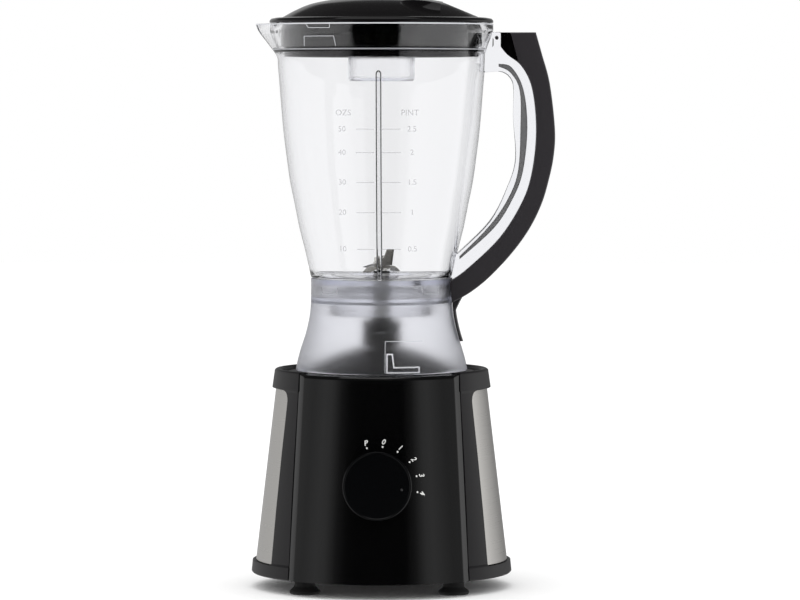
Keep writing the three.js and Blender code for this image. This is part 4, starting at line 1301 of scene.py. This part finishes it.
@dataclass
class Jug:
    """Clear jar with spout, handle frame and inner rib, on a frosted collar."""

    rim_z: float = 414.0
    wall: float = 3.0
    collar_wall: float = 2.6
    spout_from: float = 388.0
    spout_reach: float = 10.6
    spout_half: float = 13.5
    frame_half: float = 7.0
    cover_half: float = 12.5
    pin_at: Point = (84.6, 0.0, 403.6)
    wall_points: tuple[Pair, ...] = (
        (52.1, 229), (55.9, 246.5), (60.3, 264), (63.9, 282), (67.3, 299), (69.8, 317), (72.0, 335),
        (73.5, 352), (74.9, 370), (75.9, 382), (76.2, 390.5),
    )
    collar_points: tuple[Pair, ...] = (
        (63.2, 159.6), (61.7, 167), (59.2, 176), (56.2, 185), (53.9, 194), (52.5, 202), (51.9, 211),
        (51.8, 220), (51.8, 227.2),
    )
    finger_points: tuple[Pair, ...] = (
        (70, 378), (80, 378.6), (88.5, 378.4), (94.4, 374), (96.8, 366), (96.6, 345), (98.2, 315),
        (92.2, 294), (79.4, 269.5), (56, 246),
    )
    inner_points: tuple[Pair, ...] = (
        (87.5, 397), (92.6, 391), (102.9, 382.5), (110.5, 366), (113.4, 337), (110.8, 308), (103.9, 285),
        (87.3, 258), (63.6, 235), (50, 225),
    )
    outer_points: tuple[Pair, ...] = (
        (113.2, 407.5), (117.6, 392), (123.5, 370), (127.3, 337), (126.4, 317), (122.7, 299), (117.6, 282),
        (108.8, 264), (96.3, 246.5), (80.1, 229), (66, 217.5), (52, 209.5),
    )

    def jar_radius(self, z: float) -> float:
        """Outer radius of the jar's wall at a height."""
        return self.along(self.wall_points, z)

    def collar_radius(self, z: float) -> float:
        """Outer radius of the collar at a height."""
        return self.along(self.collar_points, z)

    @staticmethod
    def along(points: Sequence[Pair], z: float) -> float:
        """Radius at a height on a smooth curve through (r, z) points.

        Args:
            points: (r, z) points, from the lowest up.
            z: the height.

        Returns:
            The radius.
        """
        run = spline(points, 8)
        for (r0, z0), (r1, z1) in zip(run, run[1:]):
            if z <= z1:
                return r0 + (r1 - r0) * (z - z0) / (z1 - z0)
        return run[-1][0]

    def spout(self, angle: float, r: float, z: float) -> float:
        """Pushes the wall out into a pouring lip on the left.

        Args:
            angle: angle off the front, in radians.
            r: radius without the spout.
            z: the height.

        Returns:
            The radius with the spout.
        """
        off = math.degrees(abs((angle - 3 * math.pi / 2 + math.pi) % (2 * math.pi) - math.pi))
        if z < self.spout_from or off > self.spout_half:
            return r
        share = max(0.0, 1 - off / self.spout_half) ** 1.15
        rise = min(1.0, (z - self.spout_from) / (self.rim_z - self.spout_from))
        return r + self.spout_reach * share * rise

    def shifted(self, points: Sequence[Pair], distance: float) -> Profile:
        """Moves a curve sideways, to the left of its direction.

        Args:
            points: the points that the curve passes through.
            distance: how far it moves.

        Returns:
            The moved curve.
        """
        run = spline(points, 5)
        out = []
        for i, (x, z) in enumerate(run):
            (x0, z0), (x1, z1) = run[max(0, i - 1)], run[min(len(run) - 1, i + 1)]
            d = math.hypot(x1 - x0, z1 - z0)
            out.append((x - (z1 - z0) / d * distance, z + (x1 - x0) / d * distance))
        return out

    @staticmethod
    def groove(margin: float) -> Profile:
        """Outline of the curved groove in the web, drawn in by a margin.

        Args:
            margin: how far it is drawn in.

        Returns:
            The outline.
        """
        m = margin
        outer = [
            (86, 384.6 - m), (95.4, 382.2 - m), (104.2 - m, 366), (107.2 - m, 338), (104 - m, 306),
            (96.2 - m, 285), (82.6 - m, 264), (57.4, 241.2 + m),
        ]
        inner = [
            (57.4, 243.4 - m), (79.6, 266 - m), (93.6 + m, 287), (100.4 + m, 307), (102.0 + m, 338),
            (101.4 + m, 365), (94.6 + m, 378), (86, 382.5 + m),
        ]
        return spline(outer, 5) + spline(inner, 5)

    def frame(self) -> bpy.types.Object:
        """The clear web between jar and grip, with a sunk line in each side.

        Returns:
            The web, still uncut where the jar's hollow is.
        """
        back = self.shifted(self.inner_points, 5.0)
        front = list(reversed(spline(self.finger_points, 5)))
        shape = [(72, 407.8), (87, 407.8), (92.2, 403)] + back + [(47.5, 224.5), (47.5, 240)] + front
        obj = prism("frame", shape, self.frame_half, bevel=1.2, steps=3)
        cutters = [prism("groove", self.groove(0.0), 1.6, s * self.frame_half) for s in (-1, 1)]
        combine(obj, cutters, Join.CUT)
        return obj

    def jar(self) -> bpy.types.Object:
        """The clear jar in one piece.

        Returns:
            The jar with its web and rib.
        """
        outer = spline(self.wall_points, 5)
        inner = [(r - self.wall, z) for r, z in reversed(outer) if z > 231]
        profile = rounded([
            (24.2, 223.4), (34.6, 223.4), (34.6, 200, 0.6), (37.8, 200, 0.6), (37.8, 223.4),
            (45.8, 223.4, 0.6), (45.8, 214, 0.5), (48.8, 214, 0.5), (48.8, 227.4, 0.6), (51.6, 228.0, 0.6),
            outer[0],
        ], 3) + outer[1:] + rounded([
            outer[-1], (76.3, 392, 0.5), (77.2, 395, 1.5), (81.2, 406, 2.0), (82, 409, 1.5), (82, 414, 0.7),
            (79.6, 414, 0.7), (79.2, 407, 1.0), (75.2, 395.8, 1.0), (73.3, 393.8, 0.8), inner[0],
        ], 3)[1:] + inner[1:] + rounded([
            inner[-1], (48.2, 229.0, 2.0), (44.5, 227.4, 2.0), (24.2, 227.4), (24.2, 223.4),
        ], 5)[1:-1]
        obj = lathe("clear_jar", profile, 256, self.spout)
        web = self.frame()
        hollow = [(0, 228)] + [(r + 1.4, z) for r, z in reversed(inner)]
        inside = lathe("inside", hollow + [(73, 393), (76, 396), (79.4, 409), (79.4, 430), (0, 430)], 96)
        under = lathe("under", [(0, 150), (70, 150), (52.3, 208), (52.1, 227.8), (0, 227.8)], 96)
        combine(web, [inside, under], Join.CUT)
        ridge = [(r - 4.4, z) for r, z in inner if 236 < z < 377]
        top_r = ridge[0][0]
        outline = [(44.5, 226.6), (46.2, 229.6)] + ridge[::-1] + [(top_r + 0.9, 378.4), (top_r + 3.0, 378.2)]
        outline += [(r + 3.2, z) for r, z in ridge] + [(48.9, 228.2), (47.5, 226.6)]
        rib = prism("rib", outline, 1.65, bevel=0.7, steps=3, place=Matrix.Rotation(-math.pi / 2, 4, "Z"))
        hole = lathe("hole", [(0, -20), (1.5, -20), (1.5, 20), (0, 20)], 24, place=level(*self.pin_at))
        combine(obj, [web, rib], Join.ADD)
        combine(obj, [hole], Join.CUT)
        return obj

    def collar(self) -> bpy.types.Object:
        """The frosted collar that carries the jar on the base.

        Returns:
            The finished collar.
        """
        outer = spline(self.collar_points, 5)
        inner = [(max(r - self.collar_wall, 49.15), z) for r, z in reversed(outer)]
        foot = rounded([(60.8, 159.6), (62.9, 159.6, 0.6), outer[1]], 3)
        obj = lathe("frosted_collar", foot + outer[2:] + inner[:-1], 200)
        ledge = lathe("ledge", [(44, 211), (50, 209), (50, 213.6), (44, 213.6)], 120)
        lug = curved_plate("lug", [-8 + 16 * k / 12 for k in range(13)], lambda a: 163.2, 159.8,
                           lambda z: self.collar_radius(z) - 4.9, lambda z: self.collar_radius(z) - 1.2, 4)
        repeat(lug, copies_tree(), Count=4, Start=math.radians(17), Step=math.pi / 2,
               Turn_Axis=(0.0, 0.0, 1.0), Pivot=(AXIS.x, AXIS.y, 0.0), Finish=FINISHES("frost"))
        combine(obj, [ledge, lug], Join.ADD)
        return obj

    def collar_lines(self) -> tuple[bpy.types.Object, bpy.types.Object]:
        """Raised outlines: the latch on the collar, and the jar's two keys.

        Returns:
            The latch and the keys.
        """
        low = 161.2
        runs = [
            [(5.8, low), (5.8, 174.4), (9.6, 174.4), (10.8, 164.9), (28.9, 164.9), (28.9, low), (5.8, low)],
            [(4.4, 161.0), (4.4, 183.5), (31.0, 183.5)],
            [(-43.0, 221.4), (-42.2, 217.4), (-31.6, 217.4), (-30.8, 221.4)],
            [(30.6, 221.4), (31.4, 217.4), (42.0, 217.4), (42.8, 221.4)],
        ]
        widths = (1.0, 0.35, 0.6, 0.6)
        made = [ribbon("line", run, w, 0.3, self.collar_radius) for run, w in zip(runs, widths)]
        return merged("latch_outline", made[:2]), merged("key_outlines", made[2:])

    def rib_edges(self) -> bpy.types.Object:
        """Painted shade: a dark line along the two flanks of the inner rib and round its top, where the clear
        rib shows dark.

        Returns:
            The raised line round the rib.
        """
        half, low, top = 1.62, 229.5, 376.6
        path = [(-half, low + (top - low) * k / 24) for k in range(25)]
        path += [(half * math.sin(math.radians(a)), top + 2.6 * math.cos(math.radians(a)))
                 for a in range(-75, 90, 15)]
        path += [(-x, z) for x, z in reversed(path[:25])]
        return ribbon("rib_edges", path, 0.8, 0.3, lambda z: self.jar_radius(z) - self.wall - 1.0)

    def rim_marks(self) -> bpy.types.Object:
        """Fine raised outlines on the rim, beside the spout.

        Returns:
            The outlines and the rim's two beads, all pale: painted highlights where light catches the clear
            rim.
        """
        runs = [
            [(-53.0, 413.4), (-50.6, 410.2), (-35.2, 410.2), (-35.0, 413.4)],
            [(-54.0, 397.4), (-54.0, 404.2), (-32.2, 404.2), (-30.8, 397.4)],
        ]
        made = [ribbon("line", run, 0.32, 0.12, lambda z: min(81.9, 77.2 + (z - 395) * 0.364))
                for run in runs]
        # Painted highlight: two pale beads round the rim, standing in for light caught in the rim's ledges.
        for r, z in ((77.0, 395.2), (81.85, 413.4)):
            bead = [(r - 0.3, z - 0.45), (r + 0.15, z - 0.45), (r + 0.2, z), (r + 0.15, z + 0.45),
                    (r - 0.3, z + 0.45)]
            made.append(lathe("bead", bead, 160, self.spout))
        return merged("rim_outlines", made)

    def web_line(self) -> bpy.types.Object:
        """Painted shade: grey sheets on the floor of the groove in each side of the clear web and in the slit
        at its root, where the clear web shows a dark line.

        Returns:
            The shades on both sides.
        """
        slit = [(81.4, 396.6), (82.3, 398.2), (82.3, 402.6), (81.6, 403.6)]
        made = []
        for s in (-1, 1):
            made.append(prism("line", self.groove(0.04), 0.15, s * (self.frame_half - 1.5)))
            made.append(prism("slit", slit, 0.1, s * (self.frame_half + 0.1)))
        return merged("web_groove_shade", made)

    def scale(self) -> bpy.types.Object:
        """Volume lines and numbers on the front of the jar.

        Returns:
            All the marks as one object.
        """
        made = []
        for step, z in zip((5, 4, 3, 2, 1), (337.3, 320.4, 298.9, 277.0, 250.3)):
            for x0, x1 in ((-16.0, -3.4), (1.2, 15.6)):
                made.append(ribbon("line", [(x0, z), (x1, z)], 0.45, 0.1, self.jar_radius))
            made.append(self.volume_mark(f"{10 * step}", 5.6, -26.5, z))
            made.append(self.volume_mark(f"{step / 2:g}", 5.6, 24.0, z))
        made.append(self.volume_mark("OZS", 6.0, -25.5, 349.0))
        made.append(self.volume_mark("PINT", 6.0, 22.5, 349.0))
        return merged("volume_scale", made)

    def volume_mark(self, text: str, size: float, x: float, z: float) -> bpy.types.Object:
        """One number or unit on the jar's wall.

        Args:
            text: what it says.
            size: letter size.
            x: middle of the word.
            z: middle of its height.

        Returns:
            The mark.
        """
        obj = lettering("mark", text, size, x, z, height=0.1)
        wrap(obj, self.jar_radius)
        return obj

    def tail(self) -> bpy.types.Object:
        """The thin lower end of the grip, which lies along the collar.

        Returns:
            The tail.
        """
        low, high, steps = 181.0, 221.0, 14
        rows = []
        for k in range(steps + 1):
            z = low + (high - low) * k / steps
            r = self.collar_radius(z) + 0.35
            out = r + 2.2 + max(0.0, (z - 204) * 0.55)
            half = [(r - 0.1, 6.0), (out - 0.8, 6.0), (out, 5.0)]
            rows.append([(x, -y, z) for x, y in half] + [(x, y, z) for x, y in reversed(half)])
        return loft("tail", rows)

    def cover(self) -> bpy.types.Object:
        """The black grip over the clear web, with its deep facets and thin tail.

        Returns:
            The finished grip.
        """
        inner = list(reversed(spline(self.inner_points, 6)))
        outer = spline(self.outer_points, 6)
        grip = prism("grip_cover", [(87.5, 407.5)] + outer + inner[:-1] + [(87.5, 397)], self.cover_half,
                     bevel=3.0, steps=5)
        back = self.shifted(self.inner_points, 5.3)
        channel = prism("channel",
                        [(60, 412), (87.4, 412), (87.4, 408.2), (92.6, 403.4)] + back + [(40, 216), (30, 240)]
                        + inner[:-1] + [(87, 396), (70, 396)], self.frame_half + 0.3)
        keep_points = [(0, 150), (67, 158)] + [(self.collar_radius(z) + 0.3, z) for z in range(170, 228, 6)]
        keep_points += [(self.jar_radius(z) + 0.3, z) for z in range(232, 284, 6)]
        keep_points += [(82.3, 400), (82.3, 420), (0, 420)]
        keep = lathe("keep", keep_points, 128)
        combine(grip, [self.tail()], Join.ADD)
        side = self.cover_half + 0.1
        wedges = []
        for s in (-1, 1):
            rows = []
            for z, x, sunk in ((410.0, 94.2, 10.5), (386.5, 100.6, 0.0)):
                rows.append([(x, s * side, z), (x - 22, s * side, z), (x - 22, s * (side - sunk), z)])
            wedges.append(loft("wedge", rows))
        combine(grip, [channel, keep] + wedges, Join.CUT)
        return grip

    def build(self) -> None:
        """Builds and dresses the jug."""
        mount(self.jar(), "clear", "jug", "clear", "jar")
        mount(self.collar(), "frost", "jug", "frost", "jar_skirt")
        latch, keys = self.collar_lines()
        # The glint lines are painted highlights; the rib and groove lines are painted shade.
        lines = ((latch, "glint"), (keys, "mark"), (self.rib_edges(), "smoke"), (self.web_line(), "shade"),
                 (self.rim_marks(), "glint"), (self.scale(), "mark"))
        for made, finish in lines:
            mount(made, finish, "jug", "clear")
        cover = self.cover()
        mount(cover, "grip", "jug", "shell_black", "handle_cover")
        # Painted shade on the grip's sunk facets.
        self.paint_facet_shade(cover)
        pin = lathe("handle_pin_caps", rounded([
            (0, -8.4), (1.3, -8.4, 0.3), (1.3, -7.3), (1.2, -7.3), (1.2, 7.3), (1.3, 7.3), (1.3, 8.4, 0.3),
            (0, 8.4),
        ]), 40, place=level(*self.pin_at))
        mount(pin, "carbon", "jug", "carbon", "handle_pin")

    @staticmethod
    def paint_facet_shade(cover: bpy.types.Object) -> None:
        """Paints shade on the sunk facets at the top of the grip: faces there that look in towards the jar
        get a near-black, barely reflective copy of the grip's black.

        Args:
            cover: the grip, already dressed.
        """
        cover.data.materials.append(FINISHES("facet"))
        for face in cover.data.polygons:
            place = (face.center - AXIS) / MM
            inward = face.normal.x < -0.2 and abs(face.normal.y) > 0.2
            if inward and place.z > 384 and place.x < 102 and face.area > 4e-6:
                face.material_index = 1


@dataclass
class BladeUnit:
    """Blade holder with its ring and gasket, the spindle, two bent blades and the nut."""

    floor_z: float = 223.4
    sheet: float = 1.2
    hub_half: float = 9.0
    bend: float = 1.2
    grind: float = 2.2

    def arm(self, reach: float, rise: float, width: float) -> list[list[Point]]:
        """Sections of one arm from the hub to its tip, ground thin along one edge.

        Args:
            reach: how far the tip stands from the axis.
            rise: how far the tip stands above the hub.
            width: width at the hub.

        Returns:
            The sections' points.
        """
        out = reach - self.hub_half
        lie = math.atan2(rise, out)
        start = self.hub_half - self.bend
        stations = [(3.4, 0.0, 0.0, 1.0), (start, 0.0, 0.0, 1.0)]
        for t in (0.25, 0.5, 0.75, 1.0):
            stations.append((start + self.bend * t, math.copysign(0.15, rise) * t, lie * t, 1.0))
        for k in range(1, 9):
            t = k / 8
            stations.append((self.hub_half + out * t, rise * t, lie, 1 - 0.62 * t ** 1.4))
        rows = []
        for x, z, lean, share in stations:
            back, edge = -width / 2 * share, width / 2
            right, up = -math.sin(lean) * self.sheet, math.cos(lean) * self.sheet
            section = ((back, 0.15), (back + 0.6, 0.0), (edge - self.grind, 0.0), (edge, 0.5),
                       (edge - self.grind, 1.0), (back + 0.6, 1.0), (back, 0.85))
            rows.append([(x + right * h, y, z + up * h) for y, h in section])
        return rows

    def blade(self, name: str, right: Pair, left: Pair, width: float,
              z: float, degrees: float) -> bpy.types.Object:
        """A blade of two opposite arms joined by a holed disc.

        Args:
            name: the piece's name.
            right: reach and rise of the near arm.
            left: reach and rise of the far arm.
            width: width of both arms.
            z: height of the disc's underside.
            degrees: turn about the spindle.

        Returns:
            The blade.
        """
        place = Matrix.Translation((0, 0, z)) @ Matrix.Rotation(math.radians(degrees), 4, "Z")
        near = loft("arm", self.arm(*right, width), place=place)
        far = loft("arm", self.arm(*left, width), place=place @ Matrix.Rotation(math.pi, 4, "Z"))
        rim = ring_profile([(3.1, 0.02), (5.4, 0.02, 0.2), (5.4, 1.18, 0.2), (3.1, 1.18)], 2)
        disc = lathe("disc", rim, 48, place=Matrix.Translation((0, 0, z)))
        return merged(name, [near, far, disc])

    def build(self) -> None:
        """Builds and dresses the blade unit."""
        f = self.floor_z
        holder = lathe("blade_holder_hub", ring_profile([
            (6, 201), (10, 201, 0.6), (10, 206), (33.6, 206, 0.5), (33.6, f - 6, 0.6), (30, f - 3.6, 0.5),
            (23.8, f - 3.6), (23.8, f + 3.9, 0.4), (15, f + 4.2, 0.8), (9, f + 9.2, 0.8), (8, f + 9.6, 0.3),
            (6, f + 9.6),
        ]), 128)
        mount(holder, "holder", "jug", "light_plastic", "blade_holder")
        gasket = lathe("floor_gasket", ring_profile([
            (24.3, f - 3.2), (33, f - 3.2, 0.5), (33, f - 0.3, 0.5), (24.3, f - 0.3)]), 128)
        mount(gasket, "gasket", "jug", "light_plastic", "holder_gasket")
        ring = lathe("locking_ring", ring_profile([
            (22, 200.6), (34.2, 200.6, 0.5), (34.2, 205.6, 0.5), (22, 205.6)]), 128)
        mount(ring, "holder", "jug", "frost", "holder_ring")
        spindle = lathe("spindle", rounded([
            (0, 190.2), (4, 190.2, 0.3), (4, 233.6), (6.6, 233.8, 0.2), (6.6, 234.8, 0.2), (2.8, 235),
            (2.8, 243.2, 0.5), (2.2, 244, 0.3), (0, 244),
        ]), 48)
        mount(spindle, "bright", "blades", "screw_steel", "blade_spindle")
        for name, made in (
            ("blade_lower", self.blade("lower_blade", (20, -4), (20, -4), 10.4, 235.2, 55)),
            ("blade_upper", self.blade("upper_blade", (12.2, 12), (22, -2.5), 8.4, 236.8, -60)),
        ):
            mount(made, "blade", "blades", "screw_steel", name)
        hexagon = [(5.4 * math.cos(i * math.pi / 3), 5.4 * math.sin(i * math.pi / 3)) for i in range(6)]
        levels = ((239.4, 0.96), (239.9, 1), (242.3, 1), (242.8, 0.9))
        rows = [[(x * s, y * s, z) for x, y in hexagon] for z, s in levels]
        washer = ring_profile([(3, 238.4), (6.2, 238.4, 0.2), (6.2, 239.4, 0.2), (3, 239.4)], 2)
        nut = merged("spindle_nut", [loft("hexagon", rows), lathe("washer", washer, 48)])
        mount(nut, "bright", "blades", "screw_steel", "blade_nut")


@dataclass
class LidAndCup:
    """Glossy black lid with two finger scoops, its seal and the clear measuring cup in its middle."""

    top_z: float = 431.5
    rim_z: float = 414.0
    cup_r: float = 25.0
    cup_floor: float = 372.0
    plug_r: float = 73.2
    plug_z: float = 396.5
    scoop_at: Point = (40.0, -54.0, 434.0)
    scoop_half: Point = (27.0, 26.0, 17.0)

    def scoop(self, degrees: float) -> bpy.types.Object:
        """The hollow that a finger scoop takes out of the lid: a bowl with one flat side.

        Args:
            degrees: turn about the lid's middle.

        Returns:
            The hollow as a solid.
        """
        turns = [math.pi * i / 40 for i in range(41)]
        bowl = lathe("bowl", [(math.sin(t), -math.cos(t)) for t in turns], 72,
                     place=Matrix.Translation(self.scoop_at) @ Matrix.Diagonal((*self.scoop_half, 1.0)))
        y = self.scoop_at[1]
        side = prism("side", [(44, 400), (90, 400), (90, 470), (44, 470)], 60, y)
        floor = prism("floor", [(0, 400), (90, 400), (90, 418.9), (0, 418.9)], 60, y)
        combine(bowl, [side, floor], Join.CUT)
        centre = Matrix.Translation(AXIS)
        bowl.data.transform(centre @ Matrix.Rotation(math.radians(degrees), 4, "Z") @ centre.inverted())
        return bowl

    def lid(self) -> bpy.types.Object:
        """The lid in one piece, down to the skirt that plugs the jar.

        Returns:
            The finished lid.
        """
        p, well = self.plug_r, self.cup_r + 6
        dome = spline([(37, self.top_z), (47, 429.6), (55.1, 427.3), (64.7, 423), (72.8, 418.5)], 8)
        profile = rounded([
            (25.8, 414.5), (25.8, 427.6, 0.4), (well, 427.6, 0.3), (well, 430.5, 0.4),
            (well + 1.4, 431.4, 0.8), dome[0],
        ]) + dome[1:-1] + rounded([
            dome[-2], (72.8, 418.5, 3.0), (77, 418.3, 2.0), (80.8, 417.6, 1.5), (82.1, 416.2, 1.0),
            (82.1, 414.5, 0.5), (p + 0.8, 414.5), (p + 0.8, 397.2, 0.8), (p - 1.8, 396.2, 0.8),
            (p - 1.8, 389.6, 0.6), (p - 4.6, 389.6, 0.6), (p - 4.6, 414.5), (25.8, 414.5),
        ])[1:-1]
        obj = lathe("gloss_lid", profile, 256, sharp=24)
        cutters = [self.scoop(0), self.scoop(180)]
        lean = Matrix.Translation((44.8, 0, 429.5)) @ Matrix.Rotation(math.radians(22.5), 4, "Y")
        facet = prism("facet", [(0, 0), (29.2, 0), (29.2, 20), (0, 20)], 35, place=lean)
        combine(obj, cutters + [facet], Join.CUT, 24)
        edge = obj.modifiers.new("Edge", "BEVEL")
        edge.width, edge.segments, edge.limit_method, edge.angle_limit = 0.0005, 2, "ANGLE", math.radians(38)
        edge.use_clamp_overlap = True
        flatten(obj)
        tidy(obj, 40)
        return obj

    def build(self) -> None:
        """Builds and dresses the lid, its seal and the cup."""
        lid = self.lid()
        mount(lid, "lid", "cover", "lid_black", "lid")
        lid.data.materials.append(FINISHES("plug"))
        for face in lid.data.polygons:
            if self.plug_z < (face.center - AXIS).z / MM < self.rim_z:
                face.material_index = 1
        p = self.plug_r
        seal = lathe("lid_gasket", ring_profile([
            (p - 1.6, 391.4), (p - 0.8, 391.4, 0.3), (p - 0.4, 392.8, 0.6), (p - 0.8, 394.2, 0.3),
            (p - 1.6, 394.2),
        ]), 160)
        mount(seal, "lid", "cover", "light_plastic", "lid_seal")
        r, z = self.cup_r, self.cup_floor
        cup = lathe("clear_cup", rounded([
            (0, z), (r - 2, z, 1.2), (r - 0.6, z + 1.4, 0.8), (r, 428, 0.2), (r + 5.5, 428, 0.5),
            (r + 5.5, 430.2, 0.7), (r - 1, 430.4, 0.5), (r - 2.2, 428.6, 0.6), (r - 2.6, z + 3.4, 1.0),
            (r - 4, z + 2, 1.0), (0, z + 2),
        ]), 160)
        mount(cup, "cup", "cup", "clear", "measuring_cup")


# ---- studio ----


@dataclass(frozen=True)
class Light:
    """A soft rectangular lamp."""

    name: str
    place: Point
    size: Pair
    power: float
    aim_z: float = 0.2

    def build(self) -> None:
        """Hangs the lamp and turns it to the blender."""
        data = bpy.data.lights.new(self.name, "AREA")
        data.shape, data.size, data.size_y, data.energy = "RECTANGLE", self.size[0], self.size[1], self.power
        face_to(in_scene(self.name, data), Vector(self.place), Vector((AXIS.x, AXIS.y, self.aim_z)))


@dataclass
class Studio:
    """White sweep, camera, one soft lamp and graded rooms for the reflections.

    The room is what a mirror-like surface shows, and the lamps are what shows in one that stands behind
    clear plastic. Both are stops of an angle off the front, in degrees, and a brightness.
    """

    distance: float = 3271.0
    aim: Point = (13.6, 0.0, 211.0)
    azimuth: float = 1.5
    elevation: float = 2.73
    lens: float = 200.0
    white: float = 1.0
    fill: float = 1.14
    room: tuple[Pair, ...] = (
        (-180, 0.34), (-160, 0.37), (-128, 0.42), (-112, 0.47), (-88, 0.40), (-72, 0.34), (-58, 0.47),
        (-50, 0.42), (-39, 0.10), (-31, 0.02), (-22, 0.0), (23, 0.0), (32, 0.10), (42, 0.40), (49, 0.46),
        (67, 0.26), (84, 0.26), (100, 0.44), (113, 0.78), (128, 0.46), (158, 0.16), (180, 0.30),
    )
    room_power: float = 1.3
    zenith: float = 0.06
    ceiling: Pair = (0.30, 0.38)
    floor_half: float = 6.0
    lamps: tuple[Pair, ...] = (
        (-180, 0.86), (-110, 0.9), (-80, 0.76), (-36, 0.70), (-31, 0.0), (21, 0.0), (25, 0.95), (80, 0.95),
        (110, 0.9), (180, 0.86),
    )

    def camera(self) -> None:
        """A long lens, a little above the middle of the blender."""
        data = bpy.data.cameras.new("long_lens")
        data.lens, data.sensor_width = self.lens, 36.0
        data.clip_end = 50.0
        obj = in_scene("long_lens", data)
        a, e = math.radians(self.azimuth), math.radians(self.elevation)
        toward = Vector((math.sin(a) * math.cos(e), -math.cos(a) * math.cos(e), math.sin(e)))
        target = AXIS + Vector(self.aim) * MM
        face_to(obj, target + toward * self.distance * MM, target)
        bpy.context.scene.camera = obj

    def world(self) -> None:
        """White for the eye, soft fill for matt surfaces, and graded rooms for glossy and clear ones."""
        world = bpy.data.worlds.new("studio_room")
        bpy.context.scene.world = world
        world.use_nodes = True
        tree = world.node_tree
        tree.nodes.clear()
        toward = add(tree, "ShaderNodeTexCoord").outputs["Generated"]
        split = add(tree, "ShaderNodeSeparateXYZ", {0: toward}).outputs
        turn = sums(tree, "ARCTAN2", split["X"], sums(tree, "MULTIPLY", split["Y"], -1.0))
        share = sums(tree, "MULTIPLY_ADD", turn, 1 / (2 * math.pi), 0.5)
        low, high = self.ceiling
        above = add(tree, "ShaderNodeMapRange",
                    {"Value": split["Z"], "From Min": low, "From Max": high}).outputs[0]
        zenith = (self.zenith, self.zenith, self.zenith, 1.0)
        room = blend(tree, above, self.ring(tree, share, self.room), zenith)
        white = (1.0, 1.0, 1.0, 1.0)
        lights = ((self.white, white), (self.fill, white), (self.room_power, room),
                  (1.0, self.ring(tree, share, self.lamps)))
        seen, soft, mirrored, through = (
            add(tree, "ShaderNodeBackground", {"Strength": strength, "Color": colour}).outputs[0]
            for strength, colour in lights
        )
        depth = add(tree, "ShaderNodeLightPath").outputs
        matt = self.either(tree, depth["Diffuse Depth"], seen, soft)
        shiny = self.either(tree, depth["Transmission Depth"], mirrored, through)
        add(tree, "ShaderNodeOutputWorld", {"Surface": self.either(tree, depth["Glossy Depth"], matt, shiny)})

    @staticmethod
    def ring(tree: bpy.types.NodeTree, share: bpy.types.NodeSocket,
             stops: Sequence[Pair]) -> bpy.types.NodeSocket:
        """Brightness round the room.

        Args:
            tree: the world's tree.
            share: where a ray points, from 0 to 1 round the room, with 0.5 to the front.
            stops: an angle in degrees and a value each, with zero degrees to the front.

        Returns:
            The socket with the brightness.
        """
        ramp = add(tree, "ShaderNodeValToRGB", {0: share})
        made = ramp.color_ramp.elements
        while len(made) < len(stops):
            made.new(0.5)
        for stop, (degrees, value) in zip(made, stops):
            stop.position = (degrees + 180) / 360
            stop.color = (value, value, value, 1.0)
        return ramp.outputs[0]

    @staticmethod
    def either(tree: bpy.types.NodeTree, depth: bpy.types.NodeSocket, before: bpy.types.NodeSocket,
               after: bpy.types.NodeSocket) -> bpy.types.NodeSocket:
        """Changes the light once a ray has met a kind of surface, even if it went through glass since.

        Args:
            tree: the world's tree.
            depth: how many surfaces of the kind the ray has met.
            before: the light where it has met none.
            after: the light where it has met one or more.

        Returns:
            The socket with the chosen light.
        """
        return add(tree, "ShaderNodeMixShader", {
            0: sums(tree, "GREATER_THAN", depth, 0.5), 1: before, 2: after,
        }).outputs[0]

    def floor(self) -> None:
        """A wide pale floor."""
        mesh = bpy.data.meshes.new("pale_floor")
        corners = ((-1, -1), (1, -1), (1, 1), (-1, 1))
        mesh.from_pydata([(x * self.floor_half, y * self.floor_half, 0) for x, y in corners], [],
                         [(0, 1, 2, 3)])
        obj = in_scene("pale_floor", mesh)
        obj.visible_glossy = obj.visible_transmission = False
        dress(obj, FINISHES("sweep"))

    def build(self) -> None:
        """Sets the whole studio up."""
        bpy.context.scene.view_settings.view_transform = "Standard"
        self.camera()
        self.world()
        self.floor()
        Light("top_softbox", (-0.2, -0.4, 2.2), (1.6, 1.6), 9.0).build()


def main() -> None:
    """Builds every sub-assembly."""
    logging.basicConfig(level=logging.INFO, format="%(message)s")
    for part in (Studio(), BaseHousing(), PANEL, MotorWorks(), Jug(), BladeUnit(), LidAndCup()):
        part.build()
        log.info("built %s", type(part).__name__)


if __name__ == "__main__":
    main()
